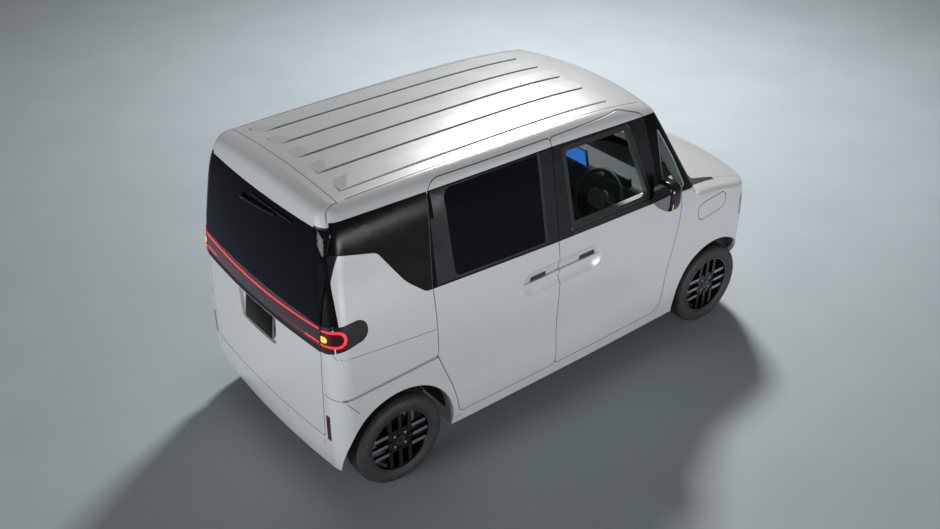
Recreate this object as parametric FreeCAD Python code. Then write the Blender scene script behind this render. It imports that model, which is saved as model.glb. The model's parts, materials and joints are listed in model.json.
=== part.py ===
import FreeCAD
import Part
import math
import os
from FreeCAD import Vector as V

# A tall four-seat light car, right-hand drive, with two front doors on hinges, two sliding
# rear doors and a tailgate hinged at the roof. Millimetres. X runs forward, Y to the car's
# left, Z up. The origin is on the ground, midway along the length and the width.

# Overall size
FRONT_OVERHANG = 447.5
WHEELBASE = 2520.0
REAR_OVERHANG = 427.5
WIDTH = 1475.0
HEIGHT = 1800.0
SILL_Z = 215.0

# Wheels and axles
TYRE_R = 281.0
TYRE_W = 165.0
RIM_R = 203.0
RIM_BARREL_T = 9.0
TRACK = 1275.0
ARCH_R = 355.0
LINER_T = 5.0
WHEELHOUSE_INNER_Y = 385.0
KINGPIN_LEAN = 10.0
BALL_JOINT_Y = 590.0
BALL_JOINT_Z = 180.0
STRUT_R = 18.0
STRUT_ROD_R = 12.0
BALL_PAD_R = 14.0
DISC_INNER_Y = 617.5
STRUT_TOP_Z = 790.0
SPRING_R = 48.0
STUB_R = 28.0
DISC_R = 118.0
DISC_T = 12.0
BAR_W = 23.0
BAR_PITCH = 64.0
BAR_T = 20.0
ARCH_LIP_W = 18.0
ARCH_LIP_DEPTH = 9.0

# Panels
DOOR_T = 55.0
FLANGE_T = 20.0
GAP = 5.0
SEAT = 0.3
GLASS_T = 5.0
NOSE_T = 18.0
TRIM_T = 10.0
POCKET_DEPTH = 20.0
FLANGE_LAP = 30.0
SHUT_STEP = 15.0
SHUT_DEPTH = 25.0
GLASS_LAP = 15.0
REAR_CORNER_R = 110.0
PILLAR_CORNER_R = 60.0
ROOF_EDGE_R = 90.0
NOSE_CORNER_R = 220.0
NOSE_TOP_R = 45.0
ROOF_PANEL_HALF = 515.0
BEAD_H = 8.0
BEAD_W = 105.0
BEAD_PITCH = 196.0
BEAD_COUNT = 5
BEAD_RAMP = 80.0
BEAD_ROOT = 1.0
BEAD_REAR_X = -130.0
SWING_RELIEF = 15.0
SWING_RELIEF_Z = 1580.0
PLATE_HOLE_PITCH = 210.0
PLATE_HOLE_R = 3.5

# Bow of each face, as a radius in plan or across the car
SIDE_BOW_R = 60000.0
REAR_BOW_R = 6000.0
ROOF_BOW_R = 5000.0
SCREEN_BOW_R = 2000.0
NOSE_BOW_R = 2200.0
BONNET_BOW_R = 3500.0

# Profiles. Side: height, tuck-in and depth of the doors' soft waist, which fades to the ends.
# Rear and nose: height and distance in from the end.
SIDE = [
    (100, 47, 0), (215, 21, 0), (320, 4, 0), (430, 0, 1), (530, 1, 9), (700, 1, 5), (950, 6, 0), (1150, 31, 0),
    (1400, 75, 0), (1650, 121, 0), (2000, 200, 0),
]
WAIST_SHARE = (0.0, 0.55, 1.0, 0.4, 0.0)
REAR = [
    (100, 57), (250, 25), (350, 7), (480, 0), (700, 1), (1000, 6), (1200, 15), (1450, 42), (1650, 79), (2000, 165),
]
NOSE = [
    (100, 137), (215, 57), (330, 17), (450, 3), (560, 0), (760, 3), (900, 17), (1010, 42), (1150, 87), (1300, 137),
]
# Roof: distance from the rear axle and drop below the top
ROOF = [
    (-580, 22), (-210, 7), (270, 1), (820, 0), (1420, 9), (1770, 38), (2050, 95), (2570, 300),
]
# Windscreen and bonnet: distance from the front axle and height
SCREEN = [(-100, 1060), (-190, 1200), (-491, 1663), (-650, 1900)]
BONNET = [(-1050, 1225), (-450, 1165), (-70, 1112), (50, 1093), (210, 1055), (350, 1008), (600, 880)]

LENGTH = FRONT_OVERHANG + WHEELBASE + REAR_OVERHANG
FRONT_X = LENGTH / 2 - FRONT_OVERHANG
REAR_X = FRONT_X - WHEELBASE
ROOF_Z = HEIGHT - BEAD_H
WHEEL_Y = TRACK / 2
OUT = 900.0

# Outlines, seen from the side: distance from an axle, height and corner radius
DOOR_SPLIT_X = FRONT_X - 1402
DOOR_BOTTOM_Z = 300.0
DOOR_TOP_Z = HEIGHT - 68
BELT_Z = 1140.0
WINDOW_TOP_Z = HEIGHT - 110
FRONT_DOOR = [
    (DOOR_SPLIT_X, DOOR_BOTTOM_Z, 25), (FRONT_X - 510, DOOR_BOTTOM_Z, 90), (FRONT_X - 436, 690, 400),
    (FRONT_X - 381, 1000, 60), (FRONT_X - 386, 1108, 12), (FRONT_X - 562, 1118, 30),
    (FRONT_X - 700, DOOR_TOP_Z - 46, 60), (FRONT_X - 850, DOOR_TOP_Z, 200), (DOOR_SPLIT_X, DOOR_TOP_Z, 20),
]
SLIDING_DOOR = [
    (DOOR_SPLIT_X - GAP, DOOR_BOTTOM_Z, 25), (DOOR_SPLIT_X - GAP, DOOR_TOP_Z, 20),
    (REAR_X + 285, DOOR_TOP_Z + 2, 90), (REAR_X + 244, 1170, 400), (REAR_X + 252, 745, 60),
    (REAR_X + 352, 500, 200), (REAR_X + 400, DOOR_BOTTOM_Z, 25),
]
FRONT_GLASS = [
    (FRONT_X - 1305, BELT_Z + 28, 20), (FRONT_X - 1345, WINDOW_TOP_Z - 22, 30),
    (FRONT_X - 815, WINDOW_TOP_Z - 30, 45), (FRONT_X - 640, BELT_Z + 24, 30),
]
SLIDING_GLASS = [
    (REAR_X + 395, BELT_Z + 50, 40), (REAR_X + 370, WINDOW_TOP_Z - 18, 60),
    (DOOR_SPLIT_X - 95, WINDOW_TOP_Z - 18, 25), (DOOR_SPLIT_X - 85, BELT_Z + 30, 25),
]
QUARTER_GLASS = [
    (FRONT_X - 592, 1590, 8), (FRONT_X - 538, 1160, 18), (FRONT_X - 345, 1138, 14), (FRONT_X - 440, 1345, 300),
]


# Geometry helpers

def steps(first, last, count):
    return [first + (last - first) * i / (count - 1) for i in range(count)]


def outside(rows, away):
    """solid on the outer side of a smooth surface through rows of points"""
    surface = Part.BSplineSurface()
    surface.interpolate(rows)
    return surface.toShape().extrude(away)


def rounded_wire(corners, place):
    """closed wire through (a, b, radius) corners, where place puts a and b in space"""
    ends = []
    for i, (a, b, radius) in enumerate(corners):
        here = V(a, b, 0)
        before = V(corners[i - 1][0], corners[i - 1][1], 0) - here
        after = V(corners[(i + 1) % len(corners)][0], corners[(i + 1) % len(corners)][1], 0) - here
        before.normalize()
        after.normalize()
        half = before.getAngle(after) / 2
        run = radius / math.tan(half)
        bisector = before + after
        bisector.normalize()
        middle = here + bisector * (radius / math.sin(half) - radius)
        ends.append((here + before * run, middle, here + after * run))
    edges = []
    for i, (start, middle, stop) in enumerate(ends):
        previous = ends[i - 1][2]
        edges.append(Part.makeLine(place(previous.x, previous.y), place(start.x, start.y)))
        if (stop - start).Length > 0.01:
            arc = [place(point.x, point.y) for point in (start, middle, stop)]
            edges.append(Part.Arc(*arc).toShape())
    return Part.Wire(edges)


def offset_wire(wire, distance):
    if distance == 0:
        return wire
    return wire.makeOffset2D(distance)


def side_prism(corners, side, grow=0.0, inner=300.0):
    """outline seen from the side, run from the inner distance outwards"""
    wire = offset_wire(rounded_wire(corners, lambda a, b: V(a, side * inner, b)), grow)
    return Part.Face(wire).extrude(V(0, side * (OUT - inner), 0))


def rear_prism(corners, x_start, x_stop, grow=0.0):
    """outline seen from behind, run along the car"""
    wire = offset_wire(rounded_wire(corners, lambda a, b: V(x_start, a, b)), grow)
    return Part.Face(wire).extrude(V(x_stop - x_start, 0, 0))


def plan_prism(corners, z_start, z_stop, grow=0.0):
    """outline seen from above, run upwards"""
    wire = offset_wire(rounded_wire(corners, lambda a, b: V(a, b, z_start)), grow)
    return Part.Face(wire).extrude(V(0, 0, z_stop - z_start))


def mirrored(corners):
    """a half outline on the left, from the bottom up, closed by its mirror image"""
    other = [(-a, b, radius) for a, b, radius in reversed(corners)]
    return corners + other


def box(x0, x1, y0, y1, z0, z1):
    return Part.makeBox(x1 - x0, y1 - y0, z1 - z0, V(x0, y0, z0))


def side_box(x0, x1, side, y0, y1, z0, z1):
    """box given by its distances out from the centre plane"""
    low, high = sorted((side * y0, side * y1))
    return box(x0, x1, low, high, z0, z1)


def tube(start, stop, radius):
    along = stop - start
    return Part.makeCylinder(radius, along.Length, start, along)


def turned(profile, y_side, centre):
    """ring revolved about a wheel's axle, from (distance out, radius) points"""
    points = [V(centre.x, y_side * y, centre.z + r) for y, r in profile]
    points.append(points[0])
    return Part.Face(Part.makePolygon(points)).revolve(centre, V(0, 1, 0), 360)


def middle_of(edge):
    return edge.valueAt((edge.FirstParameter + edge.LastParameter) / 2)


def edges_where(shape, test):
    return [edge for edge in shape.Edges if test(middle_of(edge))]


def largest(shape):
    return max(shape.Solids, key=lambda solid: solid.Volume)


# Body blanks: solids of the car's outer form, each face moved in by the inset

ACROSS = steps(-0.56 * WIDTH, 0.56 * WIDTH, 5)
ALONG = steps(-0.62 * LENGTH, 0.62 * LENGTH, 5)


def bow(distance, radius):
    """how far a bowed face has curved in at a distance from its middle"""
    return distance * distance / (2 * radius)


def outside_side(inset, side):
    rows = []
    for x, share in zip(ALONG, WAIST_SHARE):
        half = WIDTH / 2 - inset - bow(x, SIDE_BOW_R)
        rows.append([V(x, side * (half - tuck - share * waist), z) for z, tuck, waist in SIDE])
    return outside(rows, V(0, side * OUT, 0))


def outside_end(profile, inset, bow_r, end):
    rows = []
    for y in ACROSS:
        reach = LENGTH / 2 - inset - bow(y, bow_r)
        rows.append([V(end * (reach - step), y, z) for z, step in profile])
    return outside(rows, V(end * OUT, 0, 0))


def outside_roof(inset):
    rows = []
    for y in ACROSS:
        top = ROOF_Z - inset - bow(y, ROOF_BOW_R)
        rows.append([V(REAR_X + x, y, top - drop) for x, drop in ROOF])
    return outside(rows, V(0, 0, OUT))


def outside_bonnet(inset):
    rows = []
    for y in ACROSS:
        rows.append([V(FRONT_X + x, y, z - inset - bow(y, BONNET_BOW_R)) for x, z in BONNET])
    return outside(rows, V(0, 0, OUT))


def outside_screen(inset):
    """the slope makes a level shift larger than the thickness across the glass"""
    level_share = 1.2
    rows = []
    for y in ACROSS:
        back = level_share * inset + bow(y, SCREEN_BOW_R)
        rows.append([V(FRONT_X + x - back, y, z) for x, z in SCREEN])
    return outside(rows, V(2 * OUT, 0, 0))


def cabin(inset, rounded=False):
    """the tall part of the body, from the tailgate to the windscreen"""
    front = FRONT_X + SCREEN[0][0] - inset
    blank = box(-0.6 * LENGTH, front, -0.55 * WIDTH, 0.55 * WIDTH, SILL_Z + inset, HEIGHT + 60)
    for side in (-1, 1):
        blank = blank.cut(outside_side(inset, side))
    blank = blank.cut(outside_end(REAR, inset, REAR_BOW_R, -1))
    blank = blank.cut(outside_roof(inset))
    blank = largest(blank.cut(outside_screen(inset)))
    if not rounded:
        return blank
    rear = edges_where(blank, lambda m: m.x < REAR_X - 230 and 400 < m.z < 1600 and abs(m.y) > 500)
    blank = blank.makeFillet(REAR_CORNER_R - inset, rear)
    pillars = edges_where(blank, lambda m: m.x > FRONT_X - 650 and 1150 < m.z < 1650 and abs(m.y) > 400)
    blank = blank.makeFillet(PILLAR_CORNER_R - inset, pillars)
    top = edges_where(blank, lambda m: m.z > HEIGHT - 160)
    return blank.makeFillet(ROOF_EDGE_R - inset, top)


def nose(inset, rounded=True):
    """the low front part of the body"""
    blank = box(FRONT_X - 550, 0.6 * LENGTH, -0.55 * WIDTH, 0.55 * WIDTH, SILL_Z + inset, 1300)
    for side in (-1, 1):
        blank = blank.cut(outside_side(inset, side))
    blank = blank.cut(outside_end(NOSE, inset, NOSE_BOW_R, 1))
    blank = largest(blank.cut(outside_bonnet(inset)))
    if not rounded:
        return blank
    front = edges_where(blank, lambda m: m.x > FRONT_X + 150 and 300 < m.z < 900 and abs(m.y) > 500)
    blank = blank.makeFillet(NOSE_CORNER_R - inset, front)
    top = edges_where(blank, lambda m: m.z > 940 and m.x > FRONT_X - 530)
    return blank.makeFillet(NOSE_TOP_R - inset, top)


CABIN = cabin(0, True)
CABIN_GLASS = cabin(GLASS_T, True)
CABIN_SEAT = cabin(GLASS_T + SEAT, True)
CABIN_TRIM = cabin(TRIM_T, True)
CABIN_TRIM_SEAT = cabin(TRIM_T + SEAT, True)
CABIN_FENDER = cabin(NOSE_T)
CABIN_POCKET = cabin(POCKET_DEPTH)
CABIN_STEP = cabin(SHUT_DEPTH)
CABIN_DOOR = cabin(DOOR_T)
CABIN_LEDGE = cabin(DOOR_T + GAP)
CABIN_INNER = cabin(DOOR_T + GAP + FLANGE_T)
NOSE_OUTER = nose(0)
NOSE_INNER = nose(NOSE_T)


def glass_in(zone):
    """the outer layer of the cabin within a zone"""
    return CABIN.common(zone).cut(CABIN_GLASS)


# Zones on the body

def band_zone(side, grow=0.0):
    """the black window band of a side, from the rear corner to the windscreen"""
    corners = [
        (REAR_X - 800, 1158, 0), (REAR_X + 236, 1173, 0), (DOOR_SPLIT_X, BELT_Z, 0),
        (FRONT_X - 240, 1109, 0), (FRONT_X + 100, 1109, 0), (FRONT_X - 400, WINDOW_TOP_Z - 30, 0),
        (DOOR_SPLIT_X, WINDOW_TOP_Z, 0),
        (REAR_X - 800, WINDOW_TOP_Z, 0),
    ]
    return side_prism(corners, side, grow, 400.0)


def tailgate_outline():
    half = [
        (585, 450, 20), (594, 1060, 300), (600, 1400, 300), (583, HEIGHT - 170, 60), (505, HEIGHT - 26, 30),
        (505, HEIGHT + 80, 0),
    ]
    return mirrored(half)


def tailgate_side_zone(grow=0.0):
    """where the tailgate lies, seen from the side"""
    seam_x = REAR_X - 200
    corners = [
        (REAR_X - 800, 400, 0), (REAR_X - 290, 400, 0), (REAR_X - 275, HEIGHT - 170, 0),
        (seam_x, HEIGHT - 120, 0), (seam_x, HEIGHT + 90, 0), (REAR_X - 800, HEIGHT + 90, 0),
    ]
    wire = offset_wire(rounded_wire(corners, lambda a, b: V(a, -OUT, b)), grow)
    return Part.Face(wire).extrude(V(0, 2 * OUT, 0))


def tailgate_zone(grow=0.0):
    zone = rear_prism(tailgate_outline(), REAR_X - 800, REAR_X - 100, grow)
    return zone.common(tailgate_side_zone(grow))


def screen_outline():
    return mirrored([(592, 1112, 40), (520, HEIGHT - 152, 50)])


def screen_zone(grow=0.0):
    return rear_prism(screen_outline(), FRONT_X - 620, FRONT_X + 100, grow)


def arch_cut(axle_x, side, radius, inner):
    start = V(axle_x, side * inner, TYRE_R)
    return tube(start, V(axle_x, side * OUT, TYRE_R), radius)


def arch_lip(axle_x, side):
    """cone that bevels the edge of a wheel arch"""
    start = V(axle_x, side * (WIDTH / 2 - ARCH_LIP_DEPTH), TYRE_R)
    return Part.makeCone(ARCH_R, ARCH_R + 2 * ARCH_LIP_W, 2 * ARCH_LIP_DEPTH, start, V(0, side, 0))


FENDER_TOP_Z = 1105.0
FENDER_REAR = [
    (FRONT_X - 510 + GAP, SILL_Z - 50, 0), (FRONT_X - 510 + GAP, DOOR_BOTTOM_Z - GAP, 0), (FRONT_X - 436 + GAP, 690, 400),
    (FRONT_X - 381 + GAP, 1000, 60), (FRONT_X - 386 + GAP, FENDER_TOP_Z, 0), (FRONT_X + 100, FENDER_TOP_Z, 0),
    (FRONT_X + 100, FENDER_TOP_Z + 200, 0), (FRONT_X + 900, FENDER_TOP_Z + 200, 0), (FRONT_X + 900, SILL_Z - 50, 0),
]
BUMPER_SEAM_X = FRONT_X + 262
REAR_BUMPER = [
    (REAR_X - 800, 741, 0), (REAR_X - 365, 741, 0), (REAR_X - 255, 606, 0), (REAR_X - 255, 100, 0),
    (REAR_X - 800, 100, 0),
]


def body_side(side):
    """sill, pillars, roof rail and rear quarter of one side"""
    shape = CABIN.common(side_box(-0.6 * LENGTH, FRONT_X - 100, side, ROOF_PANEL_HALF, OUT, 0, HEIGHT + 100))
    shape = shape.cut(CABIN_INNER)
    fender = side_prism(FENDER_REAR, side, GAP / 2)
    shape = shape.cut(fender.cut(CABIN_LEDGE))
    shape = shape.cut(box(FRONT_X - 230, FRONT_X + 100, -OUT, OUT, 0, FENDER_TOP_Z + GAP / 2))
    for door in (FRONT_DOOR, SLIDING_DOOR):
        shape = shape.cut(side_prism(door, side, GAP, ROOF_PANEL_HALF + GAP).cut(CABIN_LEDGE))
        shape = shape.cut(side_prism(door, side, -FLANGE_LAP))
    shape = shape.cut(tailgate_zone(GAP).cut(CABIN_LEDGE))
    shape = shape.cut(rear_prism(tailgate_outline(), REAR_X - 800, REAR_X - 100, -FLANGE_LAP))
    shape = shape.cut(screen_zone())
    shape = shape.cut(screen_zone(25).cut(CABIN_SEAT))
    shape = shape.cut(quarter_recess(side).cut(CABIN_TRIM_SEAT))
    shape = shape.cut(pillar_recess(side).cut(CABIN_SEAT))
    shape = shape.cut(side_prism(QUARTER_GLASS, side, -8))
    shape = shape.cut(side_prism(REAR_BUMPER, side))
    shape = shape.cut(lamp_recess(side).cut(CABIN_STEP))
    shape = shape.cut([
        arch_cut(REAR_X, side, ARCH_R, 200), arch_lip(REAR_X, side), rail_slot(side).cut(CABIN_POCKET),
    ])
    shape = shape.cut(arch_cut(FRONT_X, side, ARCH_R + LINER_T, 200))
    return largest(shape)


def rail_slot(side):
    """slot behind the sliding door that its middle roller runs in"""
    corners = [
        (REAR_X + 260, 744, 0), (REAR_X + 260, 767, 0), (REAR_X - 352, 731, 8), (REAR_X - 352, 713, 8),
    ]
    return side_prism(corners, side)


def quarter_recess(side):
    """black trim behind the sliding door, running on under the door and the tailgate"""
    corners = [
        (REAR_X + 280, WINDOW_TOP_Z, 0), (REAR_X - 800, WINDOW_TOP_Z, 0), (REAR_X - 800, 1150, 0),
        (REAR_X - 322, 1150, 0), (REAR_X - 322, 1540, 18), (REAR_X - 297, 1541, 5), (REAR_X - 60, 1480, 60),
        (REAR_X + 85, 1270, 300), (REAR_X + 200, 1173, 60), (REAR_X + 280, 1173, 0),
    ]
    return side_prism(corners, side)


def quarter_zone(side):
    """what shows of the trim: behind the door, round the rear corner and down to the lamp"""
    zone = quarter_recess(side).cut(side_prism(SLIDING_DOOR, side, GAP))
    return zone.cut(tailgate_zone(GAP)).cut(lamp_recess(side, SEAT))


def pillar_recess(side):
    """black trim of the windscreen pillar, running on under the front door and the glass"""
    inner_y = ROOF_PANEL_HALF + SEAT
    return band_zone(side).common(side_box(FRONT_X - 800, FRONT_X + 100, side, inner_y, OUT, 1000, HEIGHT))


def front_band_zone(side):
    return pillar_recess(side).cut(side_prism(FRONT_DOOR, side, GAP)).cut(screen_zone(25 + 2 * SEAT))


def lamp_recess(side, grow=0.0):
    corners = [
        (REAR_X - 800, 960, 0), (REAR_X - 395, 1006, 0), (REAR_X - 340, 1024, 120), (REAR_X - 170, 1060, 60),
        (REAR_X - 170, 1176, 56), (REAR_X - 330, 1166, 0), (REAR_X - 800, 1150, 0),
    ]
    return side_prism(corners, side, grow)


def corner_lamp_zone(side):
    return lamp_recess(side).cut(tailgate_zone(GAP))


def roof_panel():
    zone = box(REAR_X - 400, FRONT_X, -ROOF_PANEL_HALF, ROOF_PANEL_HALF, HEIGHT - 220, HEIGHT + 100)
    shape = CABIN.common(zone).cut(CABIN_INNER)
    shape = shape.cut(tailgate_zone(GAP).cut(CABIN_LEDGE))
    shape = shape.cut(rear_prism(tailgate_outline(), REAR_X - 800, REAR_X - 250, -FLANGE_LAP))
    shape = shape.cut(screen_zone())
    shape = shape.cut(screen_zone(25).cut(CABIN_SEAT))
    return largest(shape).fuse(roof_beads())


ROOF_END_DROP = 5.4
ROOF_END_SLOPE = 1.1


def roof_beads():
    above_roof = outside_roof(BEAD_ROOT)
    above_bead = outside_roof(-BEAD_H)
    beads = []
    half = BEAD_W / 2
    start_x = REAR_X + BEAD_REAR_X
    stop_x = FRONT_X - 820
    for i in range(BEAD_COUNT):
        y = (i - (BEAD_COUNT - 1) / 2) * BEAD_PITCH
        corners = [(start_x, y - half, 0), (stop_x, y - half, 30), (stop_x, y + half, 30), (start_x, y + half, 0)]
        bead = above_roof.common(plan_prism(corners, HEIGHT - 80, HEIGHT + 60)).cut(above_bead)
        above_ramp = box(-BEAD_RAMP, 3 * BEAD_RAMP, y - BEAD_W, y + BEAD_W, 0, 4 * BEAD_H)
        above_ramp.rotate(V(0, 0, 0), V(0, 1, 0), -math.degrees(math.atan(BEAD_H / BEAD_RAMP)) - ROOF_END_SLOPE)
        above_ramp.translate(V(start_x, 0, ROOF_Z - bow(y, ROOF_BOW_R) - ROOF_END_DROP))
        beads.append(bead.cut(above_ramp))
    return Part.makeCompound(beads)


def side_door(side, outline, glass):
    """door shell with a stepped edge, its window cut out and its frame let in for the glass"""
    inner_y = ROOF_PANEL_HALF + 2 * GAP
    outer = CABIN.common(side_prism(outline, side, 0, inner_y)).cut(CABIN_STEP)
    inner = CABIN_STEP.common(side_prism(outline, side, -SHUT_STEP, inner_y)).cut(CABIN_DOOR)
    shape = outer.fuse(inner)
    shape = shape.cut(band_zone(side).cut(CABIN_SEAT))
    return largest(shape.cut([side_prism(glass, side, -GLASS_LAP)] + handle_recess(side)))


HANDLE_X = (FRONT_X - 1688, FRONT_X - 1075)
HANDLE_Z = 961.0
HANDLE_HALF_H = 86.0
HANDLE_DEPTH = 22.0
HANDLE_BAR_Z = (938, 963)
GRIP_SLITS = ((FRONT_X - 1616, FRONT_X - 1500), (FRONT_X - 1240, FRONT_X - 1120))


def handle_recess(side):
    """shallow round-ended hollow across both doors, less the bar along its middle, with two grip slits"""
    ball_r = (HANDLE_HALF_H ** 2 + HANDLE_DEPTH ** 2) / (2 * HANDLE_DEPTH)
    surface_y = WIDTH / 2 - 5
    ends = []
    for x in (HANDLE_X[0] + HANDLE_HALF_H, HANDLE_X[1] - HANDLE_HALF_H):
        ends.append(V(x, side * (surface_y + ball_r - HANDLE_DEPTH), HANDLE_Z))
    hollow = tube(ends[0], ends[1], ball_r).fuse([Part.makeSphere(ball_r, end) for end in ends])
    bar = side_box(HANDLE_X[0], HANDLE_X[1], side, 600, surface_y - 5, HANDLE_BAR_Z[0], HANDLE_BAR_Z[1])
    cutters = [hollow.cut(bar)]
    for x0, x1 in GRIP_SLITS:
        low = HANDLE_BAR_Z[1]
        corners = [(x0, low, 0), (x1, low, 0), (x1, low + 24, 10), (x0, low + 24, 10)]
        cutters.append(side_prism(corners, side, 0, surface_y - 42))
    return cutters


def door_glass(side, glass):
    return glass_in(side_prism(glass, side))


def door_garnish(side, door, glass):
    """black frame round a door's glass, flush with it"""
    shape = glass_in(band_zone(side).common(side_prism(door, side)))
    return shape.cut(side_prism(glass, side, SEAT))


def buffers(side, places):
    """rubber buffers on the body flange, just clear of a shut door"""
    found = []
    for x, z in places:
        pin = tube(V(x, side * 400, z), V(x, side * OUT, z), 9)
        found.append(pin.common(CABIN_DOOR.translated(V(0, -side * SEAT, 0))).cut(CABIN_LEDGE))
    return found


def tailgate():
    shape = CABIN.common(tailgate_zone()).cut(CABIN_DOOR)
    shape = shape.cut(rear_glass_zone(0).cut(CABIN_SEAT))
    shape = shape.cut(rear_prism(REAR_WINDOW, REAR_X - 800, REAR_X - 200))
    shape = shape.cut(lamp_bar_zone().cut(CABIN_SEAT))
    shape = shape.cut(swing_relief())
    shape = shape.cut(rear_prism(PLATE_RECESS, REAR_X - 800, REAR_X - 200).cut(CABIN_POCKET))
    return largest(shape.cut(plate_holes(V(REAR_X - 500, 0, REAR_PLATE_Z), 110)))


REAR_WINDOW = mirrored([(505, 1185, 50), (490, HEIGHT - 178, 60)])
PLATE_RECESS = mirrored([(178, 815, 25), (200, 996, 12)])
REAR_PLATE_Z = 960.0
FRONT_PLATE_Z = 545.0


def plate_holes(start, length):
    """a pair of holes along the car for a number plate"""
    pair = []
    for side in (-1, 1):
        hole_start = start + V(0, side * PLATE_HOLE_PITCH / 2, 0)
        pair.append(tube(hole_start, hole_start + V(length, 0, 0), PLATE_HOLE_R))
    return pair


def rear_glass_zone(grow):
    corners = mirrored([(640, 1155, 0), (640, HEIGHT - 142, 0)])
    return rear_prism(corners, REAR_X - 800, REAR_X - 200, grow)


def swing_relief():
    """inner edge of the tailgate's upper corners, which swings up inside its opening"""
    outline = tailgate_outline()
    ring = rear_prism(outline, REAR_X - 800, REAR_X - 100, 1).cut(
        rear_prism(outline, REAR_X - 800, REAR_X - 100, -SWING_RELIEF))
    upper = box(-LENGTH, REAR_X, -OUT, OUT, SWING_RELIEF_Z, HEIGHT + 50)
    return ring.common(upper).common(CABIN_TRIM)


def lamp_bar_zone():
    corners = mirrored([(700, 1000, 0), (700, 1155 - 2 * SEAT, 0)])
    return rear_prism(corners, REAR_X - 800, REAR_X - 200)


def rear_buffers(side):
    """rubber buffers that the shut tailgate rests on"""
    found = []
    for z in (700, 1500):
        pin = tube(V(REAR_X - 600, side * 574, z), V(REAR_X - 200, side * 574, z), 7)
        found.append(pin.common(CABIN_DOOR.translated(V(SEAT, 0, 0))).cut(CABIN_LEDGE))
    return found


def reflector_zone(side, shrink=0.0):
    return side_box(-0.6 * LENGTH, REAR_X - 330, side, 606 + shrink, 636 - shrink, 440 + shrink, 606 - shrink)


def rear_bumper():
    zone = side_prism(REAR_BUMPER, 1, 0, 0).fuse(side_prism(REAR_BUMPER, -1, 0, 0))
    shape = CABIN.common(zone).cut(CABIN_LEDGE).cut(tailgate_zone(GAP))
    for side in (-1, 1):
        shape = shape.cut([arch_cut(REAR_X, side, ARCH_R, 200), arch_lip(REAR_X, side)])
        shape = shape.cut(reflector_zone(side).cut(CABIN_SEAT))
    return largest(shape)


def reflector(side):
    return glass_in(reflector_zone(side, SEAT))


def rear_panel():
    """inner rear panel below the tailgate and the flange that its seal meets"""
    zone = box(-0.6 * LENGTH, REAR_X - 260, -ROOF_PANEL_HALF, ROOF_PANEL_HALF, 320, 480)
    return largest(CABIN_LEDGE.cut(CABIN_INNER).common(zone))


def wheel_liner(axle_x, side, inner):
    band = arch_cut(axle_x, side, ARCH_R + LINER_T, inner).cut(arch_cut(axle_x, side, ARCH_R, inner))
    return band.common(box(-LENGTH, LENGTH, -OUT, OUT, SILL_Z + 20, 1000))


def rear_liner(side):
    shape = wheel_liner(REAR_X, side, WHEELHOUSE_INNER_Y)
    disc_start = V(REAR_X, side * (WHEELHOUSE_INNER_Y - LINER_T), TYRE_R)
    disc = tube(disc_start, disc_start + V(0, side * LINER_T, 0), ARCH_R + LINER_T)
    disc = disc.common(box(-LENGTH, LENGTH, -OUT, OUT, FLOOR_REAR_Z, 1000))
    return shape.fuse(disc).common(CABIN_INNER)


def front_liner(side):
    return wheel_liner(FRONT_X, side, 575).common(NOSE_INNER)


FLOOR_Z = SILL_Z + DOOR_T + GAP + FLANGE_T
FLOOR_T = 10.0
FLOOR_REAR_Z = 430.0
FIREWALL_X = FRONT_X - 290
FIREWALL_TOP_Z = 1040.0


def floor_pan():
    """bent sheet from the rear panel over the rear axle, along the cabin and up the bulkhead"""
    upper = [
        (REAR_X - 360, FLOOR_REAR_Z, 0), (REAR_X + 315, FLOOR_REAR_Z, 60), (REAR_X + 385, FLOOR_Z, 60),
        (FRONT_X - 470, FLOOR_Z, 60),
        (FIREWALL_X - FLOOR_T, 600, 100), (FIREWALL_X - FLOOR_T, FIREWALL_TOP_Z, 0),
        (FIREWALL_X, FIREWALL_TOP_Z, 0),
        (FIREWALL_X, 598, 110), (FRONT_X - 465, FLOOR_Z - FLOOR_T, 70), (REAR_X + 379, FLOOR_Z - FLOOR_T, 70),
        (REAR_X + 309, FLOOR_REAR_Z - FLOOR_T, 50), (REAR_X - 360, FLOOR_REAR_Z - FLOOR_T, 0),
    ]
    wire = rounded_wire(upper, lambda a, b: V(a, -ROOF_PANEL_HALF, b))
    shape = Part.Face(wire).extrude(V(0, 2 * ROOF_PANEL_HALF, 0))
    tail = box(-LENGTH, REAR_X, -OUT, OUT, FLOOR_Z + GAP, HEIGHT).cut(CABIN_INNER.translated(V(SEAT, 0, 0)))
    shape = shape.cut(tail)
    for side in (-1, 1):
        shape = shape.cut(arch_cut(REAR_X, side, ARCH_R + LINER_T, WHEELHOUSE_INNER_Y - LINER_T))
        shape = shape.cut(arch_cut(FRONT_X, side, ARCH_R, WHEELHOUSE_INNER_Y))
    return largest(shape)


# Front end

def bonnet_zone(grow=0.0):
    half = [
        (FRONT_X - 40, 0, 0), (FRONT_X - 70, 300, 0), (FRONT_X - 135, 575, 12), (FRONT_X + 30, 607, 0),
        (FRONT_X + 214, 624, 0), (FRONT_X + 295, 630, 0), (FRONT_X + 500, 630, 0),
    ]
    right = [(a, -b, radius) for a, b, radius in reversed(half[1:])]
    plan = plan_prism(half + right, 900, 1300, grow)
    corners = [
        (FRONT_X - 200, 1030 - grow, 0), (FRONT_X + 300, 960 - grow, 0), (FRONT_X + 500, 965 - grow, 0),
        (FRONT_X + 500, 1300, 0), (FRONT_X - 200, 1300, 0),
    ]
    wire = rounded_wire(corners, lambda a, b: V(a, -OUT, b))
    return plan.common(Part.Face(wire).extrude(V(0, 2 * OUT, 0)))


def bonnet():
    return largest(NOSE_OUTER.common(bonnet_zone()).cut(NOSE_INNER))


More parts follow.
